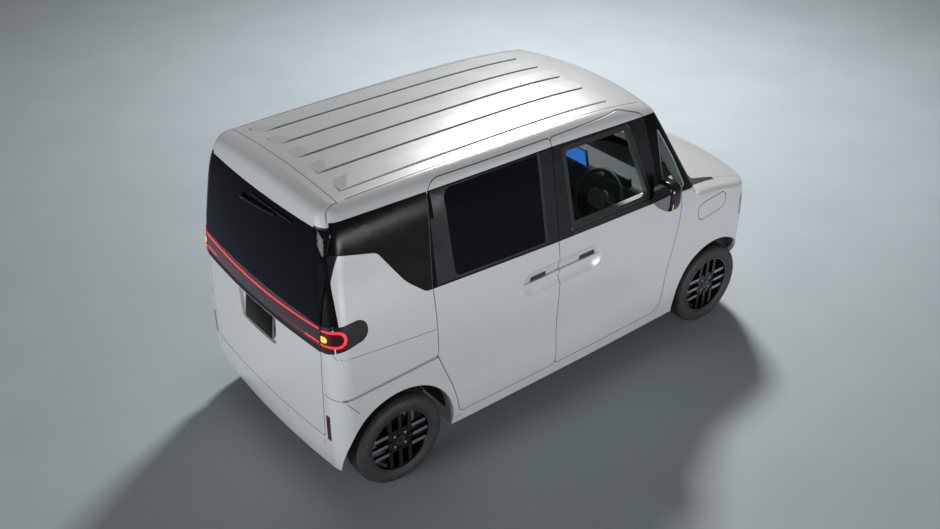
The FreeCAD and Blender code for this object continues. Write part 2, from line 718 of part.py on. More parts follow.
def headlamp_zone(side, grow=0.0):
    corners = [
        (FRONT_X + 228, 738, 25), (FRONT_X + 560, 738, 0), (FRONT_X + 560, 902, 0), (FRONT_X + 212, 902, 45),
    ]
    return side_prism(corners, side, grow, 440.0 - grow)


def headlamp(side):
    return largest(NOSE_OUTER.common(headlamp_zone(side)).cut(NOSE_INNER))


CHARGE_LID = [
    (FRONT_X - 222, 962, 45), (FRONT_X - 196, 850, 45), (FRONT_X + 40, 878, 45), (FRONT_X + 62, 990, 45),
]
CHARGE_SIDE = -1
CHARGE_DEPTH = 100.0


def charge_zone(grow=0.0):
    return side_prism(CHARGE_LID, CHARGE_SIDE, grow)


def front_fender(side):
    """the part under the windscreen pillar follows the cabin, the rest the nose"""
    zone = side_prism(FENDER_REAR, side, 0, 380).cut(cowl_zone())
    change_x = FRONT_X - 212
    shape = NOSE_OUTER.common(zone.common(box(change_x, BUMPER_SEAM_X, -OUT, OUT, 0, 1300))).cut(NOSE_INNER)
    foot = CABIN.common(zone.common(box(-LENGTH, change_x, -OUT, OUT, 0, 1300))).cut(CABIN_FENDER)
    shape = shape.fuse(foot)
    shape = shape.cut([
        box(-LENGTH, LENGTH, -640, 640, 0, 900), bonnet_zone(GAP), headlamp_zone(side, SEAT),
        arch_cut(FRONT_X, side, ARCH_R, 200), arch_lip(FRONT_X, side),
    ])
    return largest(shape)


def front_bumper():
    shape = NOSE_OUTER.common(box(BUMPER_SEAM_X, LENGTH, -OUT, OUT, 0, 1300)).cut(NOSE_INNER)
    cutters = [bonnet_zone(GAP), intake_zone(0)]
    cutters += plate_holes(V(FRONT_X + 300, 0, FRONT_PLATE_Z), 200)
    for side in (-1, 1):
        cutters += [headlamp_zone(side, SEAT), arch_cut(FRONT_X, side, ARCH_R, 200), arch_lip(FRONT_X, side)]
    return largest(shape.cut(cutters))


def intake_zone(shrink):
    """air intake low in the front bumper"""
    corners = mirrored([(330, 322, 20), (360, 422, 20)])
    return rear_prism(corners, FRONT_X + 300, FRONT_X + 600, -shrink)


def front_grille():
    """insert of the air intake, with slots between its slats"""
    layer = NOSE_OUTER.translated(V(-5, 0, 0)).common(intake_zone(SEAT)).cut(NOSE_OUTER.translated(V(-13, 0, 0)))
    slots = []
    for z in (338, 362, 386):
        corners = [(-300, z, 5), (300, z, 5), (300, z + 14, 5), (-300, z + 14, 5)]
        slots.append(rear_prism(corners, FRONT_X + 300, FRONT_X + 600))
    return layer.cut(slots)


def cowl_zone():
    return box(FRONT_X - 260, FRONT_X + 20, -632, 632, 1000, 1300)


def cowl():
    shape = NOSE_OUTER.common(cowl_zone()).cut(NOSE_INNER).cut(bonnet_zone(GAP)).cut(CABIN)
    return largest(shape)


def charge_lid():
    return NOSE_OUTER.common(charge_zone()).cut(NOSE_INNER)


def charge_port():
    """pocket behind the lid, with the socket and the lid's stop in it"""
    floor_y = WIDTH / 2 - CHARGE_DEPTH
    cup = side_prism(CHARGE_LID, CHARGE_SIDE, 12, floor_y).common(NOSE_INNER)
    cup = cup.cut(side_prism(CHARGE_LID, CHARGE_SIDE, 6, floor_y + 6))
    inside = V(FRONT_X - 80, CHARGE_SIDE * floor_y, 925)
    socket = tube(inside, inside + V(0, CHARGE_SIDE * 50, 0), 30)
    stop = tube(inside - V(0, 0, 50), inside + V(0, CHARGE_SIDE * 200, -50), 5)
    stop = stop.common(NOSE_INNER.translated(V(0, -CHARGE_SIDE * SEAT, 0)))
    return cup.fuse([socket, stop])


def front_frame():
    """side rails, strut towers and bumper beam"""
    floor = floor_pan()
    parts = []
    for side in (-1, 1):
        parts.append(side_box(FRONT_X - 400, FRONT_X + 340, side, 300, 375, 440, 520).cut(floor))
        parts.append(side_box(FRONT_X - 70, FRONT_X + 70, side, 365, 375, 500, STRUT_TOP_Z + 12 + SEAT))
        parts.append(side_box(FRONT_X - 70, FRONT_X + 70, side, 365, 545, STRUT_TOP_Z + SEAT, STRUT_TOP_Z + 12 + SEAT))
        post = tube(V(FRONT_X, side * 530, STRUT_TOP_Z + 6), V(FRONT_X, side * 530, HEIGHT), 8)
        parts.append(post.common(NOSE_INNER.translated(V(0, 0, -SEAT))))
    parts.append(box(FRONT_X + 340, FRONT_X + 370, -440, 440, 430, 530))
    shape = parts[0]
    for part in parts[1:]:
        shape = shape.fuse(part)
    return shape.removeSplitter()


def subframe():
    """cradle under the drive unit with the two lower arms"""
    shape = box(FRONT_X - 180, FRONT_X + 180, -330, 330, 200, 240)
    for side in (-1, 1):
        shape = shape.fuse(side_box(FRONT_X - 160, FRONT_X - 110, side, 305, 330, 240, 440))
        shape = shape.fuse(side_box(FRONT_X + 110, FRONT_X + 160, side, 305, 330, 240, 440))
        arm = tube(V(FRONT_X, side * 320, 215), V(FRONT_X, side * BALL_JOINT_Y, BALL_JOINT_Z - 28), 11)
        pad_top = V(FRONT_X, side * BALL_JOINT_Y, BALL_JOINT_Z - 10)
        pad = tube(pad_top - V(0, 0, 28), pad_top, BALL_PAD_R)
        shape = shape.fuse(arm).fuse(pad)
    return shape.removeSplitter()


def drive_unit():
    shape = box(FRONT_X - 170, FRONT_X + 170, -300, 300, 240, 620)
    return shape.makeFillet(40, edges_where(shape, lambda m: abs(abs(m.y) - 300) < 1))


def kingpin_point(side, z):
    y = BALL_JOINT_Y - (z - BALL_JOINT_Z) * math.tan(math.radians(KINGPIN_LEAN))
    return V(FRONT_X, side * y, z)


def knuckle(side):
    """hub carrier on its ball joint with the strut above it, both ends square to the kingpin"""
    carrier = side_box(FRONT_X - 45, FRONT_X + 45, side, 548, 580, TYRE_R - 90, TYRE_R + 95)
    neck = tube(kingpin_point(side, BALL_JOINT_Z - 7 + SEAT), kingpin_point(side, BALL_JOINT_Z + 60), 16)
    strut = tube(kingpin_point(side, TYRE_R + 50), kingpin_point(side, 640), STRUT_R)
    rod = tube(kingpin_point(side, 640), kingpin_point(side, STRUT_TOP_Z - 2.4), STRUT_ROD_R)
    spring = tube(kingpin_point(side, 610), kingpin_point(side, STRUT_TOP_Z - 14), SPRING_R)
    stub = tube(V(FRONT_X, side * 560, TYRE_R), V(FRONT_X, side * (WHEEL_Y + 20), TYRE_R), STUB_R)
    return carrier.fuse([neck, strut, rod, spring, stub])


def rear_axle():
    """torsion beam with trailing arms, stub axles and the springs that stand on the beam"""
    shape = tube(V(REAR_X + 240, -490, 320), V(REAR_X + 240, 490, 320), 32)
    for side in (-1, 1):
        foot = V(REAR_X + 240, side * 340, 335)
        shape = shape.fuse(tube(foot, V(foot.x, foot.y, FLOOR_REAR_Z - FLOOR_T - SEAT), 30))
        arm = side_box(REAR_X - 40, REAR_X + 305, side, 455, 500, 285, 355)
        stub = tube(V(REAR_X, side * 480, TYRE_R), V(REAR_X, side * (WHEEL_Y + 20), TYRE_R), STUB_R)
        carrier = side_box(REAR_X - 50, REAR_X + 50, side, 500, 545, TYRE_R - 60, TYRE_R + 60)
        shape = shape.fuse(arm).fuse(stub).fuse(carrier)
    return shape.removeSplitter()


# Wheels

def tyre(x, side):
    half = TYRE_W / 2
    edge = [
        (12, RIM_R - 6), (3, RIM_R + 11), (0, RIM_R + 30), (2, RIM_R + 50), (8, TYRE_R - 13), (16, TYRE_R - 5),
        (28, TYRE_R - 1), (42, TYRE_R),
    ]
    profile = [(WHEEL_Y - half + inward, r) for inward, r in edge]
    profile += [(WHEEL_Y + half - inward, r) for inward, r in reversed(edge)]
    return turned(profile, side, V(x, 0, TYRE_R))


def rim(x, side):
    """barrel with four groups of three parallel bars, the hub's sleeve and the brake disc"""
    half = TYRE_W / 2
    centre = V(x, 0, TYRE_R)
    inner_r = RIM_R - 6 - RIM_BARREL_T
    seat_r = RIM_R - 6 - SEAT
    edge_y = WHEEL_Y + half - 12
    back_y = WHEEL_Y - half + 12
    face_y = edge_y - 8
    barrel = turned([
        (back_y, inner_r), (back_y, seat_r), (edge_y, seat_r), (edge_y, seat_r - 4), (face_y, inner_r),
        (face_y - 20, inner_r - 4), (face_y - 60, inner_r),
    ], side, centre)
    bars = []
    for quarter in range(4):
        for offset in (-BAR_PITCH, 0, BAR_PITCH):
            reach = math.sqrt((inner_r + 3) ** 2 - (abs(offset) + BAR_W / 2) ** 2)
            bar = side_box(
                x + offset - BAR_W / 2, x + offset + BAR_W / 2, side, face_y - BAR_T, face_y,
                TYRE_R + BAR_PITCH - BAR_W / 2, TYRE_R + reach)
            bar.rotate(centre, V(0, 1, 0), 90 * quarter)
            bars.append(bar)
    hub_y = WHEEL_Y + 20 + SEAT
    plate_half = BAR_PITCH + BAR_W / 2 - 1
    hub = side_box(
        x - plate_half, x + plate_half, side, hub_y, face_y - 6, TYRE_R - plate_half, TYRE_R + plate_half)
    cap = tube(V(x, side * (face_y - 8), TYRE_R), V(x, side * (face_y - 1), TYRE_R), 27)
    sleeve = turned([
        (DISC_INNER_Y, STUB_R + SEAT), (DISC_INNER_Y, 60), (hub_y, 60), (hub_y, STUB_R + SEAT),
    ], side, centre)
    brake = turned([
        (DISC_INNER_Y, 58), (DISC_INNER_Y, DISC_R), (DISC_INNER_Y + DISC_T, DISC_R), (DISC_INNER_Y + DISC_T, 58),
    ], side, centre)
    return barrel.fuse(bars + [hub, cap, sleeve, brake]).removeSplitter()


# Trim and cabin

def mirror(side):
    """door mirror housing on its foot"""
    housing = side_box(FRONT_X - 668, FRONT_X - 540, side, 718, 872, 1115, 1305)
    front = edges_where(housing, lambda m: m.x > FRONT_X - 560)
    housing = housing.makeFillet(52, front)
    housing = housing.makeFillet(16, edges_where(housing, lambda m: m.x < FRONT_X - 664))
    foot = side_box(FRONT_X - 650, FRONT_X - 590, side, 600, 760, 1150, 1185).cut(CABIN)
    return largest(housing.fuse(foot))


def dashboard():
    corners = [
        (FIREWALL_X - FLOOR_T, 1075, 30), (FRONT_X - 560, 1085, 60), (FRONT_X - 545, 860, 60), (FRONT_X - 440, 780, 60),
        (FIREWALL_X - FLOOR_T, 780, 0),
    ]
    wire = rounded_wire(corners, lambda a, b: V(a, -590, b))
    return Part.Face(wire).extrude(V(0, 1180, 0))


def steering_wheel():
    centre = V(FRONT_X - 720, -330, 1020)
    axis = V(-0.9, 0, 0.42)
    ring = Part.makeTorus(180, 14, centre, axis)
    hub = Part.makeCylinder(58, 40, centre - axis * 45, axis)
    column = tube(centre - axis * 20, centre - axis * 180, 26)
    spokes = []
    for turn in (90, -90, 180):
        spoke = Part.makeBox(16, 180, 30, V(centre.x - 8, centre.y, centre.z - 15))
        spoke.rotate(centre, V(0, 1, 0), 25)
        spoke.rotate(centre, axis, turn)
        spokes.append(spoke)
    shape = ring.fuse([hub, column] + spokes)
    return shape.cut(dashboard())


def seat(x, y, half_width, top_z):
    """cushion on a base, with a backrest and headrest"""
    corners = [
        (x - 150, FLOOR_Z, 0), (x + 230, FLOOR_Z, 0), (x + 260, 520, 40), (x + 250, 640, 40), (x - 110, 610, 50),
        (x - 250, top_z, 30), (x - 330, top_z - 10, 30), (x - 210, 520, 60),
    ]
    wire = rounded_wire(corners, lambda a, b: V(a, y - half_width, b))
    body = Part.Face(wire).extrude(V(0, 2 * half_width, 0))
    rest = [(x - 255, top_z - 30, 0), (x - 262, top_z + 150, 28), (x - 330, top_z + 150, 28), (x - 325, top_z - 30, 0)]
    wire = rounded_wire(rest, lambda a, b: V(a, y - 125, b))
    return body.fuse(Part.Face(wire).extrude(V(0, 250, 0)))


def battery():
    return box(REAR_X + 480, FRONT_X - 540, -480, 480, 160, FLOOR_Z - FLOOR_T)


# Write one file for each piece
PIECES = {}
PIECES["floor_pan"] = floor_pan()
PIECES["roof_panel"] = roof_panel()
PIECES["rear_panel"] = rear_panel()
PIECES["rear_bumper"] = rear_bumper()
PIECES["front_bumper"] = front_bumper()
PIECES["front_grille"] = front_grille()
PIECES["bonnet"] = bonnet()
PIECES["cowl"] = cowl()
PIECES["windscreen"] = glass_in(screen_zone(25 - SEAT))
PIECES["tailgate"] = tailgate()
PIECES["tailgate_glass"] = glass_in(rear_glass_zone(-SEAT).common(tailgate_zone()))
PIECES["tail_lamp_bar"] = glass_in(lamp_bar_zone().common(tailgate_zone()))
PIECES["charge_lid"] = charge_lid()
PIECES["charge_port"] = charge_port()
PIECES["front_frame"] = front_frame()
PIECES["subframe"] = subframe()
PIECES["drive_unit"] = drive_unit()
PIECES["battery"] = battery()
PIECES["rear_axle"] = rear_axle()
PIECES["dashboard"] = dashboard()
PIECES["steering_wheel"] = steering_wheel()
PIECES["rear_seat"] = seat(REAR_X + 590, 0, 500, 1150)

# Pieces of the left side, which the right side mirrors
BUFFER_PLACES = [
    (DOOR_SPLIT_X + 25, 500), (DOOR_SPLIT_X + 25, 1000), (DOOR_SPLIT_X - 30, 500), (DOOR_SPLIT_X - 30, 1000),
    (REAR_X + 263, 1000), (FRONT_X - 408, 900),
]
SIDE_PIECES = {}
SIDE_PIECES["body_side"] = body_side(1).fuse(buffers(1, BUFFER_PLACES) + rear_buffers(1))
SIDE_PIECES["front_door"] = side_door(1, FRONT_DOOR, FRONT_GLASS)
SIDE_PIECES["front_door_glass"] = door_glass(1, FRONT_GLASS)
SIDE_PIECES["front_door_trim"] = door_garnish(1, FRONT_DOOR, FRONT_GLASS)
SIDE_PIECES["sliding_door"] = side_door(1, SLIDING_DOOR, SLIDING_GLASS)
SIDE_PIECES["sliding_door_window"] = glass_in(band_zone(1).common(side_prism(SLIDING_DOOR, 1)))
SIDE_PIECES["rear_quarter_trim"] = CABIN_SEAT.common(quarter_zone(1)).cut(CABIN_TRIM)
SIDE_PIECES["pillar_trim"] = glass_in(front_band_zone(1)).cut(side_prism(QUARTER_GLASS, 1, SEAT))
SIDE_PIECES["quarter_window"] = glass_in(side_prism(QUARTER_GLASS, 1))
SIDE_PIECES["tail_lamp"] = CABIN.common(corner_lamp_zone(1)).cut(CABIN_STEP)
SIDE_PIECES["reflector"] = reflector(1)
SIDE_PIECES["headlamp"] = headlamp(1)
SIDE_PIECES["front_fender"] = front_fender(1)
SIDE_PIECES["front_liner"] = front_liner(1)
SIDE_PIECES["rear_liner"] = rear_liner(1)
SIDE_PIECES["mirror"] = mirror(1)
SIDE_PIECES["front_seat"] = seat(FRONT_X - 1130, 330, 250, 1200)
SIDE_PIECES["knuckle"] = knuckle(1)
SIDE_PIECES["tyre_front"] = tyre(FRONT_X, 1)
SIDE_PIECES["tyre_rear"] = tyre(REAR_X, 1)
SIDE_PIECES["rim_front"] = rim(FRONT_X, 1)
SIDE_PIECES["rim_rear"] = rim(REAR_X, 1)
PAIRS = (
    "rear_quarter_trim", "pillar_trim", "quarter_window", "tail_lamp", "reflector", "headlamp", "front_liner",
    "rear_liner", "front_seat", "sliding_door_window",
)
for name, shape in SIDE_PIECES.items():
    other = shape.mirror(V(0, 0, 0), V(0, 1, 0))
    if name in PAIRS:
        PIECES[name + "s"] = Part.makeCompound([shape, other])
    else:
        PIECES[name + "_left"] = shape
        PIECES[name + "_right"] = other
PIECES["front_fender_right"] = largest(PIECES["front_fender_right"].cut(charge_zone(GAP)))

os.makedirs("parts", exist_ok=True)
for name, shape in PIECES.items():
    shape.exportStep(os.path.join("parts", name + ".step"))
    print(name, "solids", len(shape.Solids), "valid", shape.isValid())
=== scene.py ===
import json
import math

import bpy
import bmesh
import numpy as np
from mathutils import Matrix, Vector
from mathutils.bvhtree import BVHTree


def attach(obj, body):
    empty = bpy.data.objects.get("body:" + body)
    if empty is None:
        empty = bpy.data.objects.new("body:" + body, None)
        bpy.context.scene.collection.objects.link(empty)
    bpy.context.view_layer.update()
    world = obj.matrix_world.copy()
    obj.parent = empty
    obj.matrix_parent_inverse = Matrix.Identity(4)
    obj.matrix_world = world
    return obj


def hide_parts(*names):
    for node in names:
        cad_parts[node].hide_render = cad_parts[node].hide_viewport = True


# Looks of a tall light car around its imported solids. Metres, in the frame of the solids:
# X forward, Y to the car's left, Z up, origin on the ground under the middle.

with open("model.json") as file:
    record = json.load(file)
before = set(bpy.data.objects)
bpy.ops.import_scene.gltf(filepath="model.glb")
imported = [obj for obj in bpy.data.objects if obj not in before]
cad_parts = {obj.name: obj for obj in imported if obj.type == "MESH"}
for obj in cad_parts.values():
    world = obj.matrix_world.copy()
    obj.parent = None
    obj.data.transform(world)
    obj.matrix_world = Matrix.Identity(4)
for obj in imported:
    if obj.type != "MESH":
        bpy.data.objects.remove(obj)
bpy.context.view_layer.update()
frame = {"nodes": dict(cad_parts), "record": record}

# Camera, from the photograph's perspective
CAMERA_PLACE = (-3.8337, -4.4404, 4.2889)
CAMERA_AZIMUTH = 39.132
CAMERA_DOWN = 32.367
CAMERA_ROLL = 0.558
FOCAL_SHARE = 1087.12 / 940
SENSOR = 36.0

# Places that the pieces share with the solids
FRONT_X = 1.25
REAR_X = -1.27
WHEEL_Y = 0.6375
TYRE_R = 0.281
TYRE_W = 0.165
SIDES = (("left", 1), ("right", -1))

# Starts of the rays that find a surface
BEHIND_X = -2.2
AHEAD_X = 2.2
BESIDE_Y = 1.2
ABOVE_Z = 2.2


def make_camera():
    azimuth = math.radians(CAMERA_AZIMUTH)
    down = math.radians(CAMERA_DOWN)
    roll = math.radians(CAMERA_ROLL)
    look = Vector((math.sin(azimuth) * math.cos(down), math.cos(azimuth) * math.cos(down), -math.sin(down)))
    right = look.cross(Vector((0, 0, 1))).normalized()
    up = right.cross(look)
    rolled_right = math.cos(roll) * right + math.sin(roll) * up
    rolled_up = math.cos(roll) * up - math.sin(roll) * right
    data = bpy.data.cameras.new("camera")
    data.sensor_width = SENSOR
    data.lens = FOCAL_SHARE * SENSOR
    data.clip_end = 100
    camera = bpy.data.objects.new("camera", data)
    turn = Matrix((rolled_right, rolled_up, -look)).transposed()
    camera.matrix_world = Matrix.Translation(CAMERA_PLACE) @ turn.to_4x4()
    bpy.context.scene.collection.objects.link(camera)
    bpy.context.scene.camera = camera


# Materials

def new_material(name):
    made = bpy.data.materials.new(name)
    made.use_nodes = True
    tree = made.node_tree
    return made, tree, tree.nodes["Principled BSDF"]


def add_node(tree, kind, **settings):
    node = tree.nodes.new(kind)
    for key, value in settings.items():
        setattr(node, key, value)
    return node


def noise(tree, scale, detail=3.0, roughness=0.5):
    node = add_node(tree, "ShaderNodeTexNoise")
    place = add_node(tree, "ShaderNodeTexCoord")
    tree.links.new(place.outputs["Object"], node.inputs["Vector"])
    node.inputs["Scale"].default_value = scale
    node.inputs["Detail"].default_value = detail
    node.inputs["Roughness"].default_value = roughness
    return node.outputs["Fac"]


def ramp(tree, source, low, high, start=0.35, stop=0.65):
    node = add_node(tree, "ShaderNodeValToRGB")
    node.color_ramp.elements[0].position = start
    node.color_ramp.elements[1].position = stop
    node.color_ramp.elements[0].color = (*low, 1)
    node.color_ramp.elements[1].color = (*high, 1)
    tree.links.new(source, node.inputs["Fac"])
    return node.outputs["Color"]


def map_range(tree, source, low, high):
    node = add_node(tree, "ShaderNodeMapRange")
    node.inputs["To Min"].default_value = low
    node.inputs["To Max"].default_value = high
    tree.links.new(source, node.inputs["Value"])
    return node.outputs["Result"]


def bump(tree, source, strength, distance):
    node = add_node(tree, "ShaderNodeBump")
    node.inputs["Strength"].default_value = strength
    node.inputs["Distance"].default_value = distance
    tree.links.new(source, node.inputs["Height"])
    return node.outputs["Normal"]


def plain(name, low, high, rough, metallic=0.0, coat=0.0, grain=60.0, bump_mm=0.0,
          bump_scale=400.0, shine=0.5):
    """a finish whose colour and roughness vary a little over the surface"""
    made, tree, shader = new_material(name)
    spread = noise(tree, grain)
    tree.links.new(ramp(tree, spread, low, high), shader.inputs["Base Color"])
    tree.links.new(map_range(tree, spread, rough * 0.85, rough * 1.15), shader.inputs["Roughness"])
    shader.inputs["Metallic"].default_value = metallic
    shader.inputs["Specular IOR Level"].default_value = shine
    shader.inputs["Coat Weight"].default_value = coat
    shader.inputs["Coat Roughness"].default_value = 0.03
    if bump_mm:
        normal = bump(tree, noise(tree, bump_scale, 2.0), 0.5, bump_mm / 1000)
        tree.links.new(normal, shader.inputs["Normal"])
    return made


def inside(tree, source, low, high):
    """one where a value lies between two bounds, else nought"""
    node = add_node(tree, "ShaderNodeMath", operation="COMPARE")
    node.inputs[1].default_value = (low + high) / 2
    node.inputs[2].default_value = (high - low) / 2
    tree.links.new(source, node.inputs[0])
    return node.outputs["Value"]


def in_box(tree, box):
    """one inside a box of x, distance from the middle and z, else nought"""
    place = add_node(tree, "ShaderNodeTexCoord")
    parts = add_node(tree, "ShaderNodeSeparateXYZ")
    tree.links.new(place.outputs["Object"], parts.inputs["Vector"])
    away = add_node(tree, "ShaderNodeMath", operation="ABSOLUTE")
    tree.links.new(parts.outputs["Y"], away.inputs[0])
    share = None
    for source, (low, high) in zip((parts.outputs["X"], away.outputs["Value"], parts.outputs["Z"]), box):
        factor = inside(tree, source, low, high)
        if share:
            both = add_node(tree, "ShaderNodeMath", operation="MULTIPLY")
            tree.links.new(share, both.inputs[0])
            tree.links.new(factor, both.inputs[1])
            factor = both.outputs["Value"]
        share = factor
    return share


def paint_material(name, black_box=None):
    """white pearl paint under a clear coat, black inside a box"""
    made, tree, shader = new_material(name)
    flakes = noise(tree, 900.0, 1.0)
    white = ramp(tree, flakes, (0.69, 0.71, 0.72), (0.75, 0.765, 0.77))
    if black_box:
        mixed = add_node(tree, "ShaderNodeMix", data_type="RGBA")
        colours = [socket for socket in mixed.inputs if socket.type == "RGBA"]
        tree.links.new(in_box(tree, black_box), mixed.inputs["Factor"])
        tree.links.new(white, colours[0])
        colours[1].default_value = (0.006, 0.0065, 0.008, 1)
        white = [socket for socket in mixed.outputs if socket.type == "RGBA"][0]
    tree.links.new(white, shader.inputs["Base Color"])
    tree.links.new(map_range(tree, noise(tree, 7.0), 0.28, 0.36), shader.inputs["Roughness"])
    shader.inputs["Metallic"].default_value = 0.10
    shader.inputs["Coat Weight"].default_value = 0.6
    shader.inputs["Coat Roughness"].default_value = 0.08
    tree.links.new(bump(tree, noise(tree, 500.0, 1.0), 0.06, 0.0002), shader.inputs["Coat Normal"])
    return made


def glass_material(name, tint, clear_share, least=0.06, rough=0.02):
    """thin tinted sheet: see-through, with a reflection that grows towards grazing views"""
    made, tree, shader = new_material(name)
    shader.inputs["Base Color"].default_value = (*tint, 1)
    shader.inputs["Roughness"].default_value = rough
    shader.inputs["IOR"].default_value = 1.5
    through = add_node(tree, "ShaderNodeBsdfTransparent")
    streaks = ramp(tree, noise(tree, 2.0, 2.0), tuple(0.97 * t for t in clear_share), clear_share)
    tree.links.new(streaks, through.inputs["Color"])
    mix = add_node(tree, "ShaderNodeMixShader")
    weight = add_node(tree, "ShaderNodeLayerWeight")
    steep = add_node(tree, "ShaderNodeMath", operation="POWER")
    steep.inputs[1].default_value = 5.0
    tree.links.new(weight.outputs["Facing"], steep.inputs[0])
    share = map_range(tree, steep.outputs["Value"], least, 1.0)
    tree.links.new(share, mix.inputs["Fac"])
    tree.links.new(through.outputs["BSDF"], mix.inputs[1])
    tree.links.new(shader.outputs["BSDF"], mix.inputs[2])
    tree.links.new(mix.outputs["Shader"], tree.nodes["Material Output"].inputs["Surface"])
    return made


def fabric_material(name, low, high):
    made, tree, shader = new_material(name)
    weave = add_node(tree, "ShaderNodeTexVoronoi")
    place = add_node(tree, "ShaderNodeTexCoord")
    tree.links.new(place.outputs["Object"], weave.inputs["Vector"])
    weave.inputs["Scale"].default_value = 450.0
    tree.links.new(ramp(tree, noise(tree, 25.0), low, high), shader.inputs["Base Color"])
    shader.inputs["Roughness"].default_value = 0.85
    shader.inputs["Sheen Weight"].default_value = 0.3
    tree.links.new(bump(tree, weave.outputs["Distance"], 0.5, 0.001), shader.inputs["Normal"])
    return made


def tyre_material():
    made, tree, shader = new_material("rubber")
    spread = noise(tree, 45.0)
    grey = ramp(tree, spread, (0.028, 0.029, 0.032), (0.042, 0.043, 0.047))
    tree.links.new(grey, shader.inputs["Base Color"])
    tree.links.new(map_range(tree, spread, 0.50, 0.70), shader.inputs["Roughness"])
    tree.links.new(bump(tree, noise(tree, 350.0), 0.4, 0.0006), shader.inputs["Normal"])
    return made


def glow_material(name, colour, strength, spread=0.15):
    """lit lens: a glowing plastic with a faintly uneven glow"""
    made, tree, shader = new_material(name)
    uneven = noise(tree, 120.0, 2.0)
    dim = tuple((1 - spread) * c for c in colour)
    tree.links.new(ramp(tree, uneven, dim, colour), shader.inputs["Base Color"])
    shader.inputs["Emission Color"].default_value = (*colour, 1)
    shader.inputs["Emission Strength"].default_value = strength
    shader.inputs["Roughness"].default_value = 0.25
    return made


MATERIALS = {
    "body_paint": paint_material("paint"),
    "black_gloss": plain("black_trim", (0.003, 0.0034, 0.0042), (0.005, 0.0055, 0.0068), 0.22, grain=12.0,
                         shine=0.22),
    "black_plastic": plain("black_plastic", (0.012, 0.012, 0.013), (0.020, 0.020, 0.021), 0.6, bump_mm=0.3),
    "clear_glass": glass_material("clear_glass", (0.02, 0.025, 0.025), (0.90, 0.94, 0.94), 0.04),
    "privacy_glass": glass_material("privacy_glass", (0.030, 0.034, 0.050), (0.05, 0.055, 0.07), 0.22, 0.04),
    "lamp_cover": plain("lamp_cover", (0.008, 0.008, 0.010), (0.013, 0.013, 0.015), 0.14, coat=0.6),
    "red_lamp": plain("red_lamp", (0.09, 0.004, 0.006), (0.13, 0.006, 0.008), 0.15, coat=0.8),
    "tyre": tyre_material(),
    "wheel_alloy": plain("dark_alloy", (0.006, 0.0065, 0.008), (0.010, 0.011, 0.013), 0.30, metallic=0.2,
                         coat=0.3),
    "underbody": plain("underbody", (0.014, 0.014, 0.015), (0.024, 0.024, 0.024), 0.7, bump_mm=0.5,
                       bump_scale=120.0),
    "cast_alloy": plain("cast_alloy", (0.30, 0.30, 0.31), (0.40, 0.40, 0.40), 0.5, metallic=0.8, bump_mm=0.4),
    "interior_dark": plain("interior_dark", (0.055, 0.060, 0.065), (0.075, 0.080, 0.085), 0.6, bump_mm=0.4),
    "seat_fabric": fabric_material("fabric", (0.42, 0.42, 0.41), (0.52, 0.51, 0.49)),
}
# Shut faces beside the black glass of the rear corner: spans of x, distance from the middle and z
SIDE_BLACK = ((-1.70, -1.45), (0.40, 0.622), (1.03, 1.67))
TAILGATE_BLACK = ((-1.70, -1.40), (0.50, 0.72), (1.150, 1.668))
SIDE_PAINT = paint_material("side_paint", SIDE_BLACK)
TAILGATE_PAINT = paint_material("tailgate_paint", TAILGATE_BLACK)
SILVER = plain("machined_silver", (0.34, 0.35, 0.38), (0.44, 0.45, 0.48), 0.32, metallic=0.85, grain=300.0)
RIM_LIP = plain("rim_lip", (0.20, 0.21, 0.23), (0.27, 0.28, 0.30), 0.30, metallic=0.8, grain=200.0)
# painted shade: the dark of narrow gaps, for the seams and the rings round the parking sensors
SEAM_SHADE = plain("seam_shadow", (0.035, 0.038, 0.042), (0.05, 0.054, 0.06), 0.8)
RUBBER = plain("seal_rubber", (0.004, 0.004, 0.005), (0.008, 0.008, 0.009), 0.55, bump_mm=0.2)
FRAME_BLACK = plain("frame_black", (0.010, 0.011, 0.014), (0.014, 0.015, 0.019), 0.24, grain=15.0,
                    bump_mm=0.02)
RED_GLOW = glow_material("red_glow", (0.95, 0.020, 0.045), 1.3)
RED_DIM = glow_material("red_dim", (0.55, 0.012, 0.03), 0.5)
AMBER = glow_material("amber_glow", (0.95, 0.50, 0.05), 0.9)
AMBER_DIM = glow_material("amber_dim", (0.80, 0.28, 0.02), 0.25)
SMOKED = plain("smoked_lens", (0.020, 0.016, 0.020), (0.028, 0.022, 0.027), 0.18, coat=0.5)
DEEP_RED = plain("deep_red", (0.05, 0.003, 0.004), (0.08, 0.005, 0.006), 0.2, coat=0.7)
PLATE = plain("plate_black", (0.002, 0.002, 0.002), (0.004, 0.004, 0.004), 0.30, grain=30.0, shine=0.15)
GREY_PLASTIC = plain("grey_plastic", (0.16, 0.165, 0.17), (0.20, 0.205, 0.21), 0.5, bump_mm=0.1)
SCREEN = glow_material("screen_blue", (0.03, 0.18, 0.60), 0.9, 0.5)
MIRROR_BLACK = plain("mirror_black", (0.006, 0.006, 0.007), (0.010, 0.010, 0.011), 0.22, coat=0.6)
MIRROR_GLASS = plain("mirror_glass", (0.30, 0.31, 0.33), (0.34, 0.35, 0.37), 0.04, metallic=0.95)
DEEP_RED_DARK = plain("deep_red_dark", (0.020, 0.002, 0.003), (0.035, 0.003, 0.004), 0.25, coat=0.4)
# painted shade for the hollows behind the door handle bars
GRIP_SHADE = plain("grip_shadow", (0.030, 0.034, 0.038), (0.045, 0.050, 0.055), 0.7)
SEAT_SIDE = fabric_material("fabric_side", (0.34, 0.34, 0.34), (0.42, 0.42, 0.41))
DASH_LIGHT = plain("dash_light", (0.16, 0.17, 0.18), (0.20, 0.21, 0.22), 0.55, bump_mm=0.3)
LIT_WHITE = glow_material("lamp_white", (0.85, 0.88, 0.92), 0.4)

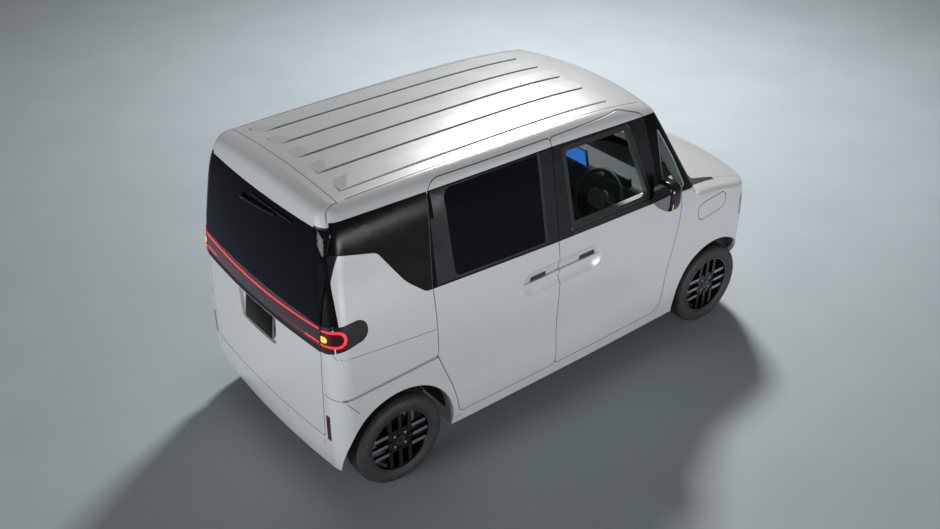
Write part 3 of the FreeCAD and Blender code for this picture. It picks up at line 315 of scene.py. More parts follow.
SLOT_OF = {row["node"]: row["material_slot"] for row in frame["record"]["subparts"]}
OWN_FINISH = {
    "tail_lamps": MATERIALS["lamp_cover"],
    "reflectors": DEEP_RED,
    "tail_lamp_bar": SMOKED,
    "tailgate": TAILGATE_PAINT,
}
for label, _ in SIDES:
    OWN_FINISH["front_door_trim_" + label] = FRAME_BLACK
    OWN_FINISH["mirror_" + label] = FRAME_BLACK
    OWN_FINISH["body_side_" + label] = SIDE_PAINT


def dress_nodes():
    """the solids' own faces, smooth where they curve"""
    for name, node in frame["nodes"].items():
        node.data.materials.clear()
        node.data.materials.append(OWN_FINISH.get(name, MATERIALS[SLOT_OF[name]]))
        for polygon in node.data.polygons:
            polygon.use_smooth = True
        node.data.set_sharp_from_angle(angle=math.radians(28))
        smooth = node.modifiers.new("even_normals", "WEIGHTED_NORMAL")
        smooth.keep_sharp = True


# Ways to make pieces

def piece_from(name, points, faces, finish, body, sharp=35.0):
    mesh = bpy.data.meshes.new(name)
    mesh.from_pydata([tuple(p) for p in points], [], faces)
    mesh.materials.append(finish)
    sorter = bmesh.new()
    sorter.from_mesh(mesh)
    bmesh.ops.recalc_face_normals(sorter, faces=sorter.faces)
    sorter.to_mesh(mesh)
    sorter.free()
    for polygon in mesh.polygons:
        polygon.use_smooth = True
    mesh.set_sharp_from_angle(angle=math.radians(sharp))
    made = bpy.data.objects.new(name, mesh)
    bpy.context.scene.collection.objects.link(made)
    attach(made, body)
    return made


class Heap:
    """points and faces of several closed forms that make one piece"""

    def __init__(self):
        self.points = []
        self.faces = []

    def add(self, points, faces):
        base = len(self.points)
        self.points += [Vector(p) for p in points]
        self.faces += [tuple(base + i for i in face) for face in faces]

    def loft(self, rings, closed=False):
        """closed form through equal rings of points, with ends capped unless it closes on itself"""
        count = len(rings[0])
        points = [p for ring in rings for p in ring]
        faces = []
        last = len(rings) if closed else len(rings) - 1
        for i in range(last):
            j = (i + 1) % len(rings)
            for k in range(count):
                m = (k + 1) % count
                faces.append((i * count + k, i * count + m, j * count + m, j * count + k))
        if not closed:
            faces.append(tuple(range(count)))
            faces.append(tuple((len(rings) - 1) * count + k for k in reversed(range(count))))
        self.add(points, faces)

    def ribbon(self, hits, width, lift, sink=0.0, closed=False):
        """flat strip of a width along (point, normal) pairs, standing proud of a surface"""
        rings = []
        count = len(hits)
        for i, (point, normal) in enumerate(hits):
            before = hits[(i - 1) % count][0] if closed or i > 0 else point
            after = hits[(i + 1) % count][0] if closed or i < count - 1 else point
            wide = width[i] if isinstance(width, list) else width
            across = (after - before).cross(normal).normalized() * (wide / 2)
            top = point + normal * lift
            low = point - normal * sink
            rings.append([low - across, top - across, top + across, low + across])
        self.loft(rings, closed)

    def tube(self, path, radius, sides=8, closed=False):
        rings = []
        count = len(path)
        guide = Vector((0.13, 0.21, 0.97))
        for i, point in enumerate(path):
            before = path[(i - 1) % count] if closed or i > 0 else point
            after = path[(i + 1) % count] if closed or i < count - 1 else point
            along = (Vector(after) - Vector(before)).normalized()
            first = along.cross(guide).normalized()
            second = along.cross(first)
            r = radius[i] if isinstance(radius, (list, tuple)) else radius
            ring = []
            for k in range(sides):
                angle = 2 * math.pi * k / sides
                ring.append(Vector(point) + r * (math.cos(angle) * first + math.sin(angle) * second))
            rings.append(ring)
        self.loft(rings, closed)

    def turned(self, profile, centre, side, count=72):
        """closed ring about a wheel's axle from (distance out, radius) points"""
        rings = []
        for k in range(count):
            angle = 2 * math.pi * k / count
            c, s = math.cos(angle), math.sin(angle)
            rings.append([Vector((centre[0] + r * c, side * y, centre[2] + r * s)) for y, r in profile])
        self.loft(rings, True)

    def block(self, low, high, edge=0.003, turn=None, centre=None):
        """box with bevelled edges"""
        maker = bmesh.new()
        bmesh.ops.create_cube(maker, size=1.0)
        low = Vector(low)
        high = Vector(high)
        for vertex in maker.verts:
            for axis in range(3):
                vertex.co[axis] = low[axis] if vertex.co[axis] < 0 else high[axis]
        bmesh.ops.bevel(maker, geom=maker.edges[:], offset=edge, segments=2, profile=0.6, affect="EDGES")
        if turn is not None:
            pivot = Vector(centre) if centre is not None else (low + high) / 2
            for vertex in maker.verts:
                vertex.co = turn @ (vertex.co - pivot) + pivot
        maker.verts.ensure_lookup_table()
        self.add([v.co.copy() for v in maker.verts], [[v.index for v in f.verts] for f in maker.faces])
        maker.free()

    def make(self, name, finish, body, sharp=35.0):
        return piece_from(name, self.points, self.faces, finish, body, sharp)


def tree_of(*names):
    """search tree over the faces of the named solids"""
    points = []
    faces = []
    for name in names:
        mesh = frame["nodes"][name].data
        base = len(points)
        points += [v.co.copy() for v in mesh.vertices]
        faces += [[base + i for i in p.vertices] for p in mesh.polygons]
    return BVHTree.FromPolygons(points, faces)


def cast(tree, start, along):
    """first point and outward normal that a ray meets"""
    along = Vector(along).normalized()
    point, normal, _, _ = tree.ray_cast(Vector(start), along)
    if point is None:
        return None
    if normal.dot(along) > 0:
        normal = -normal
    return point, normal


def spaced(corners, step, closed=False):
    """points along straight runs, a step apart at most"""
    out = []
    count = len(corners)
    runs = count if closed else count - 1
    for i in range(runs):
        a, b = np.array(corners[i], float), np.array(corners[(i + 1) % count], float)
        parts = max(1, int(math.ceil(np.linalg.norm(b - a) / step)))
        for k in range(parts):
            out.append(tuple(a + (b - a) * k / parts))
    if not closed:
        out.append(tuple(corners[-1]))
    return out


def rounded(corners, steps=5):
    """closed outline of (a, b, radius) corners with each corner as an arc"""
    out = []
    count = len(corners)
    for i, (a, b, radius) in enumerate(corners):
        here = Vector((a, b))
        before = Vector(corners[i - 1][:2]) - here
        after = Vector(corners[(i + 1) % count][:2]) - here
        if radius <= 0:
            out.append((a, b))
            continue
        half = before.angle(after) / 2
        run = radius / math.tan(half)
        start = here + before.normalized() * run
        stop = here + after.normalized() * run
        middle = here + (before.normalized() + after.normalized()).normalized() * (radius / math.sin(half))
        first = math.atan2(start.y - middle.y, start.x - middle.x)
        sweep = math.atan2(stop.y - middle.y, stop.x - middle.x) - first
        sweep = (sweep + math.pi) % (2 * math.pi) - math.pi
        for k in range(steps + 1):
            angle = first + sweep * k / steps
            out.append((middle.x + radius * math.cos(angle), middle.y + radius * math.sin(angle)))
    return out


def side_hits(tree, side, outline):
    found = [cast(tree, (a, side * BESIDE_Y, b), (0, -side, 0)) for a, b in outline]
    return [hit for hit in found if hit]


def rear_hits(tree, outline):
    found = [cast(tree, (BEHIND_X, a, b), (1, 0, 0)) for a, b in outline]
    return [hit for hit in found if hit]


def top_hits(tree, outline):
    found = [cast(tree, (a, b, ABOVE_Z), (0, 0, -1)) for a, b in outline]
    return [hit for hit in found if hit]


def skin(name, outline, holes, project, lift, finish, body, step=0.03, thick=0.0006):
    """thin sheet with holes, cut to an outline and laid on a surface"""
    maker = bmesh.new()
    edges = []
    for loop in [outline] + holes:
        corners = [maker.verts.new((a, b, 0)) for a, b in loop]
        edges += [maker.edges.new((corners[i - 1], corners[i])) for i in range(len(corners))]
    bmesh.ops.triangle_fill(maker, use_beauty=True, edges=edges)
    low = [min(p[k] for p in outline) for k in (0, 1)]
    high = [max(p[k] for p in outline) for k in (0, 1)]
    for axis, normal in ((0, (1, 0, 0)), (1, (0, 1, 0))):
        at = low[axis] + step
        while at < high[axis]:
            place = [0.0, 0.0, 0.0]
            place[axis] = at
            geometry = maker.verts[:] + maker.edges[:] + maker.faces[:]
            bmesh.ops.bisect_plane(maker, geom=geometry, dist=1e-6, plane_co=place, plane_no=normal)
            at += step
    maker.verts.ensure_lookup_table()
    tops = []
    lows = []
    missed = []
    for vertex in maker.verts:
        hit = project(vertex.co.x, vertex.co.y)
        missed.append(hit is None)
        point, normal = hit if hit else (Vector((0, 0, 0)), Vector((0, 0, 1)))
        tops.append(point + normal * (lift + thick))
        lows.append(point + normal * lift)
    count = len(tops)
    faces = []
    whole = [face for face in maker.faces if not any(missed[v.index] for v in face.verts)]
    kept = set(whole)
    for face in whole:
        ring = [v.index for v in face.verts]
        faces.append(tuple(ring))
        faces.append(tuple(count + i for i in reversed(ring)))
    for edge in maker.edges:
        if sum(face in kept for face in edge.link_faces) == 1:
            a, b = edge.verts[0].index, edge.verts[1].index
            faces.append((a, b, count + b, count + a))
    maker.free()
    return piece_from(name, tops + lows, faces, finish, body)


# Tail lamps. The corner lamps are laid out by their distance along the rear corner and their height.
CORNER_X = -1.50
CORNER_Y = 0.55
CORNER_REACH = 0.6
TURN_PER_METRE = 370.0
LAMP_SEAM = 0.046
LAMP_STEP = 0.012
# A lens is its end, low edge, high edge and end radius
INNER_LENS = (0.163, 1.060, 1.129, 0.034)
INDICATOR = (0.084, 1.072, 1.107, 0.015)
RING_BEND = 0.131
RING_MIDDLE_Z = 1.096
RING_R = 0.0405
RING_STEP = 0.006
RING_ARCS = 16
RING_THIN = 0.0075
RING_WIDENS = 0.0065
RING_WIDENS_OVER = 0.09
BAR_HALF = 0.584
BAR_TOP_Z = 1.1225
BAR_LOW_Z = 1.0515
BAR_LOW_BOW = 0.020
STRIP_Z = 1.0125
STRIP_W = 0.026
DOTS = 26
DOTS_END = 0.462
DOT_PITCH = 0.0098
DOT_SMALL = 0.0034
DOT_GROWS = 0.0024


def corner_cast(tree, side, along, z):
    """surface of the rear corner, a distance along it from straight back"""
    angle = math.radians(along * TURN_PER_METRE)
    out = Vector((-math.cos(angle), side * math.sin(angle), 0))
    return cast(tree, Vector((CORNER_X, side * CORNER_Y, z)) + out * CORNER_REACH, -out)


def lens_outline(lens, inset, corner, steps):
    """lens that ends square at the lamp's seam and round towards the side"""
    end, low, high, radius = lens
    start = LAMP_SEAM + inset
    corners = [(start, low, corner), (end, low, radius), (end, high, radius), (start, high, corner)]
    return rounded(corners, steps)


def corner_lamp(label, side):
    """lens, indicator and lit ring on the lamp that goes round the rear corner"""
    tree = tree_of("tail_lamps", "body_side_" + label, "rear_quarter_trims")

    def lay(along, z):
        return corner_cast(tree, side, along, z)

    inner = lens_outline(INNER_LENS, 0.002, 0.001, 8)
    skin("lamp_inner_" + label, inner, [], lay, 0.0012, DEEP_RED_DARK, "body", LAMP_STEP)
    amber = lens_outline(INDICATOR, 0.004, 0.004, 6)
    skin("indicator_" + label, amber, [], lay, 0.0024, AMBER, "body", LAMP_STEP)
    start = LAMP_SEAM + 0.001
    top = RING_MIDDLE_Z + RING_R
    low = RING_MIDDLE_Z - RING_R
    path = spaced([(start, top), (RING_BEND, top)], RING_STEP)
    for k in range(1, RING_ARCS):
        angle = math.pi / 2 - math.pi * k / RING_ARCS
        path.append((RING_BEND + RING_R * math.cos(angle), RING_MIDDLE_Z + RING_R * math.sin(angle)))
    path += spaced([(RING_BEND, low), (start, low)], RING_STEP)
    spread = [min(1.0, max(0.0, (along - LAMP_SEAM) / RING_WIDENS_OVER)) for along, _ in path]
    widths = [RING_THIN + RING_WIDENS * share for share in spread]
    ring = Heap()
    ring.ribbon([lay(a, z) for a, z in path], widths, 0.0030)
    ring.make("lamp_ring_" + label, RED_GLOW, "body")


def bowed(z, bow, low, high, count):
    """line across the tailgate that rises a little towards its ends"""
    return [(y, z + bow * y * y) for y in np.linspace(low, high, count)]


def lamp_bar_lines():
    tree = tree_of("tailgate", "tail_lamp_bar", "tailgate_glass")
    top = Heap()
    top.ribbon(rear_hits(tree, bowed(BAR_TOP_Z, 0.055, -BAR_HALF, BAR_HALF, 90)), 0.0085, 0.0022)
    top.make("lamp_line_top", RED_GLOW, "tailgate")
    dots = Heap()
    ends = Heap()
    for side in (-1, 1):
        tail = [(side * y, z) for y, z in bowed(BAR_LOW_Z, BAR_LOW_BOW, DOTS_END + 0.008, BAR_HALF, 12)]
        ends.ribbon(rear_hits(tree, tail), 0.0075, 0.0020)
        for k in range(DOTS):
            y = DOTS_END - DOT_PITCH * k
            z = BAR_LOW_Z + BAR_LOW_BOW * y * y
            size = DOT_SMALL + DOT_GROWS * (1.0 - k / DOTS)
            dot = rear_hits(tree, [(side * (y - size * 0.5), z), (side * (y + size * 0.5), z)])
            dots.ribbon(dot, size, 0.0016)
    ends.make("lamp_line_low", RED_GLOW, "tailgate")
    dots.make("lamp_dots", RED_DIM, "tailgate")
    strip = Heap()
    strip.ribbon(rear_hits(tree, bowed(STRIP_Z, 0.010, -BAR_HALF, BAR_HALF, 90)), STRIP_W, 0.0012)
    strip.make("lamp_strip", RUBBER, "tailgate")


def circle(a, b, radius, count):
    """points round a circle"""
    turns = [2 * math.pi * k / count for k in range(count)]
    return [(a + radius * math.cos(t), b + radius * math.sin(t)) for t in turns]


# Small parts of the rear
SENSOR_YS = (-0.57, -0.235, 0.235, 0.57)
SENSOR_Z = 0.405
SENSOR_R = 0.0095
PLATE_Z = 0.9065
PLATE_HALF_WIDTH = 0.1425
PLATE_HALF_HEIGHT = 0.070
PLATE_THICK = 0.002
PLATE_FOOT_X = -1.6962
PLATE_GAP = 0.006
PLATE_BOLT_Y = 0.105
PLATE_BOLT_UP = 0.0555
PLATE_BOLT_R = 0.0055
BRACKET_BEHIND = Vector((0.0046, -0.004, 0))
BRACKET_HALF_THICK = 0.0028
BRACKET_YS = (-0.154, 0.1395)
BRACKET_ZS = (0.8385, 0.9745)
WIPER_Y = 0.126
WIPER_Z = 1.572
WIPER_ARM = ((WIPER_Y, 1.573, 0.012), (0.06, 1.580, 0.017), (-0.05, 1.588, 0.019), (-0.185, 1.602, 0.012))
WIPER_CLIP = ((-0.165, 1.596, 0.014), (-0.20, 1.606, 0.010))
BLADE_FROM = 0.046
BLADE_TO = -0.345
BLADE_Z = 1.6215
BLADE_R = 0.0058


def sensor_dots():
    tree = tree_of("rear_bumper")
    # painted shade: thin dark rings for the gap round each sensor
    dots = Heap()
    for y in SENSOR_YS:
        dots.ribbon(rear_hits(tree, circle(y, SENSOR_Z, SENSOR_R, 20)), 0.0016, 0.0004, closed=True)
    dots.make("park_sensors", SEAM_SHADE, "body")


def number_plate():
    """blank plate on its bracket, leaning with its foot on the tailgate's lower edge"""
    tree = tree_of("tailgate")
    top_x = cast(tree, (BEHIND_X, 0, 0.900), (1, 0, 0))[0].x - PLATE_GAP
    lean = math.atan2(top_x - PLATE_FOOT_X, 2 * PLATE_HALF_HEIGHT)
    turn = Matrix.Rotation(lean, 3, "Y")
    middle = Vector(((top_x + PLATE_FOOT_X) / 2 + 0.0015, 0, PLATE_Z))
    half = Vector((PLATE_THICK / 2, PLATE_HALF_WIDTH, PLATE_HALF_HEIGHT))
    plate = Heap()
    plate.block(middle - half, middle + half, 0.0008, turn, middle)
    plate.make("plate", PLATE, "tailgate")
    back = middle + BRACKET_BEHIND
    low = (back.x - BRACKET_HALF_THICK, BRACKET_YS[0], BRACKET_ZS[0])
    high = (back.x + BRACKET_HALF_THICK, BRACKET_YS[1], BRACKET_ZS[1])
    bracket = Heap()
    bracket.block(low, high, 0.001, turn, back)
    bracket.make("plate_bracket", GREY_PLASTIC, "tailgate")
    bolts = Heap()
    for y in (-PLATE_BOLT_Y, PLATE_BOLT_Y):
        head = turn @ Vector((-0.001, y, PLATE_BOLT_UP)) + middle
        bolts.tube([head, head + Vector((-0.0016, 0, 0.0004))], PLATE_BOLT_R, 6)
    bolts.make("plate_bolts", RUBBER, "tailgate")


def wiper():
    tree = tree_of("tailgate_glass", "tailgate")

    def off(y, z, away):
        point, normal = cast(tree, (BEHIND_X, y, z), (1, 0, 0))
        return point + normal * away

    arm = Heap()
    cap = [off(WIPER_Y, WIPER_Z, away) for away in (-0.001, 0.012, 0.017)]
    arm.tube(cap, [0.017, 0.0165, 0.010], 20)
    arm.tube([off(*place) for place in WIPER_ARM], [0.009, 0.008, 0.0065, 0.005], 10)
    arm.tube([off(*place) for place in WIPER_CLIP], [0.009, 0.009], 10)
    arm.make("wiper_arm", FRAME_BLACK, "tailgate")
    blade = Heap()
    path = [off(y, BLADE_Z + 0.004 * (y + 0.15), 0.006) for y in np.linspace(BLADE_FROM, BLADE_TO, 14)]
    blade.tube(path, [0.004] + [BLADE_R] * 12 + [0.0035], 8)
    blade.make("wiper_blade", RUBBER, "tailgate")


# Seams that the solids don't part, drawn as thin strips of painted shade
QUARTER_SEAM = [(-1.640, 1.040), (-1.632, 0.998), (-1.622, 0.984), (-1.605, 0.981), (-1.035, 0.934)]
BUMPER_SEAM = [(-1.600, 0.707), (-1.527, 0.612)]
BUMPER_SEAM_Z = 0.742
BUMPER_SEAM_FALL = 0.22
ROOF_SEAM = (-1.42, 0.60)
ROOF_SEAM_Y = 0.5153
SILL_SEAM = [(-0.905, 0.262), (-0.862, 0.266)]


# a thin dark strip of painted shade where a seam's gap would be
def seam_ribbon(name, hits, width=0.0028):
    heap = Heap()
    heap.ribbon(hits, width, 0.00035)
    heap.make(name, SEAM_SHADE, "body")


def seams(label, side):
    body = tree_of("body_side_" + label, "rear_bumper", "tail_lamps", "rear_quarter_trims")
    seam_ribbon("seam_quarter_" + label, side_hits(body, side, spaced(QUARTER_SEAM, 0.02)))
    corner = [(a, BUMPER_SEAM_Z - BUMPER_SEAM_FALL * (a - LAMP_SEAM)) for a in np.linspace(0.047, 0.16, 24)]
    around = [corner_cast(body, side, a, z) for a, z in corner]
    down = side_hits(body, side, spaced(BUMPER_SEAM, 0.015))
    seam_ribbon("seam_bumper_" + label, [hit for hit in around if hit] + down, 0.0035)
    roof = tree_of("roof_panel", "body_side_" + label)
    edge = spaced([(x, side * ROOF_SEAM_Y) for x in ROOF_SEAM], 0.03)
    seam_ribbon("seam_roof_" + label, top_hits(roof, edge), 0.0042)
    seam_ribbon("seam_sill_" + label, side_hits(body, side, spaced(SILL_SEAM, 0.01)))


# Grips, window frames and seals
GRIP_Z = (0.9640, 0.9860)
GRIP_Y = (0.6910, 0.7135)
GRIP_X = {"rear": (-0.3655, -0.2505), "front": (0.0105, 0.1295)}
SLIDING_PANE = [(-0.878, 1.192, 0.04), (-0.900, 1.676, 0.05), (-0.264, 1.676, 0.012), (-0.252, 1.172, 0.012)]
SLIDING_FRAME = [(-1.000, 1.182), (-0.160, 1.148), (-0.160, 1.682), (-0.997, 1.683)]
SLIDING_FRONT_SEAL = [(-0.257, 1.683), (-0.244, 1.158)]
SLIDING_LOW_SEAL = [(-0.880, 1.187), (-0.246, 1.164)]
DOOR_LOW_SEAL = [(-0.048, 1.160), (0.606, 1.152)]
DOOR_SEAL = [(-0.041, 1.183, 0.020), (-0.079, 1.654, 0.03), (0.423, 1.646, 0.045), (0.590, 1.179, 0.03)]
SEAL_STEP = 0.03


def grips(label, side):
    """painted shade: dark blocks in the hollows behind the bars of the door handles"""
    for name, body in (("rear", "body"), ("front", "door_" + label)):
        near, far = sorted(side * y for y in GRIP_Y)
        heap = Heap()
        heap.block((GRIP_X[name][0], near, GRIP_Z[0]), (GRIP_X[name][1], far, GRIP_Z[1]), 0.003)
        heap.make("grip_%s_%s" % (name, label), GRIP_SHADE, body)


def window_frames(label, side):
    band = tree_of("sliding_door_windows")

    def lay(a, b):
        return cast(band, (a, side * BESIDE_Y, b), (0, -side, 0))

    skin("window_frame_" + label, SLIDING_FRAME, [rounded(SLIDING_PANE)], lay, 0.0012, FRAME_BLACK, "body",
         0.025)
    seal = Heap()
    seal.ribbon(side_hits(band, side, spaced(SLIDING_FRONT_SEAL, SEAL_STEP)), 0.020, 0.0022)
    seal.ribbon(side_hits(band, side, spaced(SLIDING_LOW_SEAL, SEAL_STEP)), 0.012, 0.0030)
    seal.make("window_seal_" + label, RUBBER, "body")
    door = tree_of("front_door_trim_" + label, "front_door_glass_" + label)
    pane = tree_of("front_door_glass_" + label)
    low = Heap()
    low.ribbon(side_hits(door, side, spaced(DOOR_LOW_SEAL, SEAL_STEP)), 0.012, 0.0030)
    low.ribbon(side_hits(pane, side, spaced(rounded(DOOR_SEAL), 0.02, True)), 0.030, 0.0012, 0.0, True)
    low.make("door_seal_" + label, RUBBER, "door_" + label)


# Mirrors
MIRROR_X = 0.646
MIRROR_Y = 0.794
MIRROR_Z = 1.210
MIRROR_HALF = Vector((0.0625, 0.0765, 0.0935))
MIRROR_SQUARE = 0.62
MIRROR_GLASS_HALF = (0.064, 0.080)
MIRROR_GLASS_X = (0.5822, 0.5840)
MIRROR_FOOT_Y = (0.690, 0.770)
MIRROR_SIGNAL = [(0.8690, 1.150), (0.8700, 1.168), (0.8700, 1.186)]
MIRROR_SIGNAL_X = 0.6030


def soft_square(count, power):
    """points of a rounded square that reaches one on each side"""
    points = []
    for k in range(count):
        angle = 2 * math.pi * k / count
        c, s = math.cos(angle), math.sin(angle)
        points.append((math.copysign(abs(c) ** power, c), math.copysign(abs(s) ** power, s)))
    return points


def mirror_parts(label, side):
    """rounded housing on its foot, with the glass and the side indicator"""
    body = "door_" + label
    middle = Vector((MIRROR_X, side * MIRROR_Y, MIRROR_Z))
    section = soft_square(40, MIRROR_SQUARE)
    rings = []
    for i in range(25):
        along = -1 + 2 * i / 24
        flat_back = 7.0 if along < 0 else 2.2
        share = max((1 - abs(along) ** flat_back) ** 0.5, 0.02)
        size = MIRROR_HALF * share
        rings.append([middle + Vector((along * MIRROR_HALF.x, a * size.y, b * size.z)) for a, b in section])
    housing = Heap()
    housing.loft(rings)
    near, far = sorted(side * y for y in MIRROR_FOOT_Y)
    housing.block((0.603, near, 1.1515), (0.657, far, 1.1835), 0.010)
    shell = housing.make("mirror_housing_" + label, MIRROR_BLACK, body, 60.0)
    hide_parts("mirror_" + label)
    wide, tall = MIRROR_GLASS_HALF
    outline = [(a * wide, b * tall) for a, b in section]
    glass = Heap()
    glass.loft([[Vector((x, middle.y + a, middle.z + b)) for a, b in outline] for x in MIRROR_GLASS_X])
    glass.make("mirror_glass_" + label, MIRROR_GLASS, body)
    strip = Heap()
    strip.tube([(MIRROR_SIGNAL_X, side * y, z) for y, z in MIRROR_SIGNAL], 0.0016, 8)
    strip.make("mirror_signal_" + label, AMBER, body)


# Headlamps
LIGHT_YS = (0.505, 0.585)
LIGHT_Z = 0.825
LIGHT_R = 0.030
LIGHT_BAR = (0.46, 0.62)
LIGHT_BAR_Z = 0.768
MARKER_X = 1.482
MARKER_Z = 0.800
MARKER_R = 0.006


def headlamp_parts(label, side):
    tree = tree_of("headlamps")

    def front(points):
        found = [cast(tree, (AHEAD_X, side * a, b), (-1, 0, 0)) for a, b in points]
        return [hit for hit in found if hit]

    lit = Heap()
    for y in LIGHT_YS:
        lit.ribbon(front(circle(y, LIGHT_Z, LIGHT_R, 32)), 0.006, 0.0008, closed=True)
    lit.ribbon(front([(y, LIGHT_BAR_Z) for y in np.linspace(*LIGHT_BAR, 16)]), 0.007, 0.0008)
    lit.make("headlamp_lights_" + label, LIT_WHITE, "body")
    spot = Heap()
    spot.ribbon(side_hits(tree, side, circle(MARKER_X, MARKER_Z, MARKER_R, 16)), 0.006, 0.0006, closed=True)
    spot.make("side_marker_" + label, AMBER_DIM, "body")


# Wheels
TREAD_BLOCKS = 64
STEPS_PER_BLOCK = 4
NOTCH = 0.0028
NOTCH_FROM_R = 0.2490
GROOVE_YS = (0.044, 0.0148, -0.0148, -0.044)
GROOVE = ((0.0050, 0.2808), (0.0034, 0.2745), (-0.0034, 0.2745), (-0.0050, 0.2808))
TYRE_EDGE = [
    (0.0140, 0.1975), (0.0072, 0.2060), (0.0020, 0.2230), (0.0004, 0.2400),
    (0.0022, 0.2530), (0.0075, 0.2650), (0.0150, 0.2735), (0.0280, 0.2795),
]
BAR_W = 0.023
BAR_PITCH = 0.064
BAR_EDGE = 0.0015
BAR_FACE_Y = 0.700
BAR_START = {-1: 0.078, 0: 0.086, 1: 0.078}
BAR_END_R = 0.185
LIP_RING = [(0.7078, 0.1905), (0.7090, 0.1915), (0.7090, 0.1945), (0.7078, 0.1955)]
CAP_RING = [(0.6988, 0.0205), (0.6998, 0.0215), (0.6998, 0.0245), (0.6988, 0.0255)]
NUT_PATH_YS = (0.6935, 0.6990, 0.7005)
NUT_RADII = (0.0095, 0.0095, 0.006)
NUTS = 4
NUT_CIRCLE_R = 0.050
VALVE_DEGREES = 35
VALVE_PATH = ((0.186, 0.690), (0.176, 0.703))


def tyre(axle, label, side, x):
    """tyre with four grooves round it and notched shoulders"""
    half = TYRE_W / 2
    profile = [(WHEEL_Y + half - out, r) for out, r in TYRE_EDGE]
    notched = [r > NOTCH_FROM_R for _, r in TYRE_EDGE]
    for centre in GROOVE_YS:
        profile += [(WHEEL_Y + centre + shift, r) for shift, r in GROOVE]
        notched += [False] * len(GROOVE)
    profile += [(WHEEL_Y - half + out, r) for out, r in reversed(TYRE_EDGE)]
    notched += [r > NOTCH_FROM_R for _, r in reversed(TYRE_EDGE)]
    rings = []
    steps = TREAD_BLOCKS * STEPS_PER_BLOCK
    for k in range(steps):
        angle = 2 * math.pi * k / steps
        c, s = math.cos(angle), math.sin(angle)
        depth = NOTCH if k % STEPS_PER_BLOCK == 0 else 0.0
        ring = []
        for (y, r), cut in zip(profile, notched):
            low = r - (depth if cut else 0.0)
            ring.append(Vector((x + low * c, side * y, TYRE_R + low * s)))
        rings.append(ring)
    heap = Heap()
    heap.loft(rings, True)
    body = "wheel_%s_%s" % (axle, label)
    made = heap.make("road_tyre_%s_%s" % (axle, label), MATERIALS["tyre"], body, 50.0)
    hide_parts("tyre_%s_%s" % (axle, label))


def wheel_parts(axle, label, side, x):
    """machined bar faces, lip, cap, nuts and valve on the rim"""
    body = "wheel_%s_%s" % (axle, label)
    centre = Vector((x, 0, TYRE_R))
    faces = Heap()
    near, far = sorted((side * (BAR_FACE_Y - 0.0003), side * (BAR_FACE_Y + 0.0009)))
    half = BAR_W / 2 - BAR_EDGE
    for degrees in (90, 270):
        turn = Matrix.Rotation(math.radians(degrees), 3, "Y")
        for place, start in BAR_START.items():
            offset = place * BAR_PITCH
            reach = math.sqrt(BAR_END_R ** 2 - (abs(offset) + BAR_W / 2) ** 2)
            low = (x + offset - half, near, TYRE_R + start)
            high = (x + offset + half, far, TYRE_R + reach)
            faces.block(low, high, 0.0004, turn, centre)
    faces.make("bar_faces_%s_%s" % (axle, label), SILVER, body)
    lip = Heap()
    lip.turned(LIP_RING, centre, side)
    lip.make("rim_lip_%s_%s" % (axle, label), RIM_LIP, body)
    hub = Heap()
    hub.turned(CAP_RING, centre, side, 40)
    hub.make("cap_ring_%s_%s" % (axle, label), RIM_LIP, body)
    nuts = Heap()
    for k in range(NUTS):
        angle = math.radians(45 + 360 / NUTS * k)
        away = NUT_CIRCLE_R * Vector((math.cos(angle), 0, math.sin(angle)))
        nuts.tube([centre + away + Vector((0, side * y, 0)) for y in NUT_PATH_YS], NUT_RADII, 6)
    nuts.make("wheel_nuts_%s_%s" % (axle, label), SILVER, body)
    c, s = math.cos(math.radians(VALVE_DEGREES)), math.sin(math.radians(VALVE_DEGREES))
    valve = Heap()
    valve.tube([Vector((x + r * c, side * y, TYRE_R + r * s)) for r, y in VALVE_PATH], [0.004, 0.003], 8)
    valve.make("valve_%s_%s" % (axle, label), RUBBER, body)


# Seats. A seat's place is its hip point's x, and its parts are set from there.
SEAT_FLOOR_Z = 0.262
CUSHION_Z = 0.560
CUSHION_SIZE = (0.440, 0.115)
CUSHION_TILT = -4
BOLSTER_Z = 0.570
BOLSTER_W = 0.078
BOLSTER_H = 0.130
WING_H = 0.115
BACK_FOOT_Z = 0.60
BACK_LEAN = 0.150
BACK_BEHIND = 0.205
BACK_THICK = 0.100
HEAD_SIZE = (0.145, 0.240, 0.062)
HEAD_BEHIND = 0.293
HEAD_UP = 0.068
HEAD_TILT = -86
POST_Y = 0.05
POST_R = 0.006


def pad(heap, centre, size, tilt, crown, edge, channels=(), cuts=18):
    """cushion block: rounded edges, crowned faces and stitched channels along it"""
    maker = bmesh.new()
    bmesh.ops.create_cube(maker, size=2.0)
    bmesh.ops.subdivide_edges(maker, edges=maker.edges[:], cuts=cuts, use_grid_fill=True)
    half = Vector(size) / 2
    turn = Matrix.Rotation(math.radians(tilt), 3, "Y")
    for vertex in maker.verts:
        share = Vector(vertex.co)
        at = Vector([share[k] * half[k] for k in range(3)])
        inner = Vector([max(-half[k] + edge, min(half[k] - edge, at[k])) for k in range(3)])
        away = at - inner
        if away.length > 1e-9:
            at = inner + away.normalized() * edge
        swell = (1 - share.x ** 2) * (1 - share.y ** 2)
        at.z += crown * swell * (1 if share.z > 0 else 0.2) * abs(share.z)
        at.x += 0.5 * crown * (1 - share.y ** 2) * (1 - share.z ** 2) * share.x
        for place, width, depth in channels:
            if share.z > 0.9:
                at.z -= depth * math.exp(-((at.y - place) / width) ** 2)
        vertex.co = turn @ at + Vector(centre)
    heap.add([v.co.copy() for v in maker.verts], [[v.index for v in f.verts] for f in maker.faces])
    maker.free()


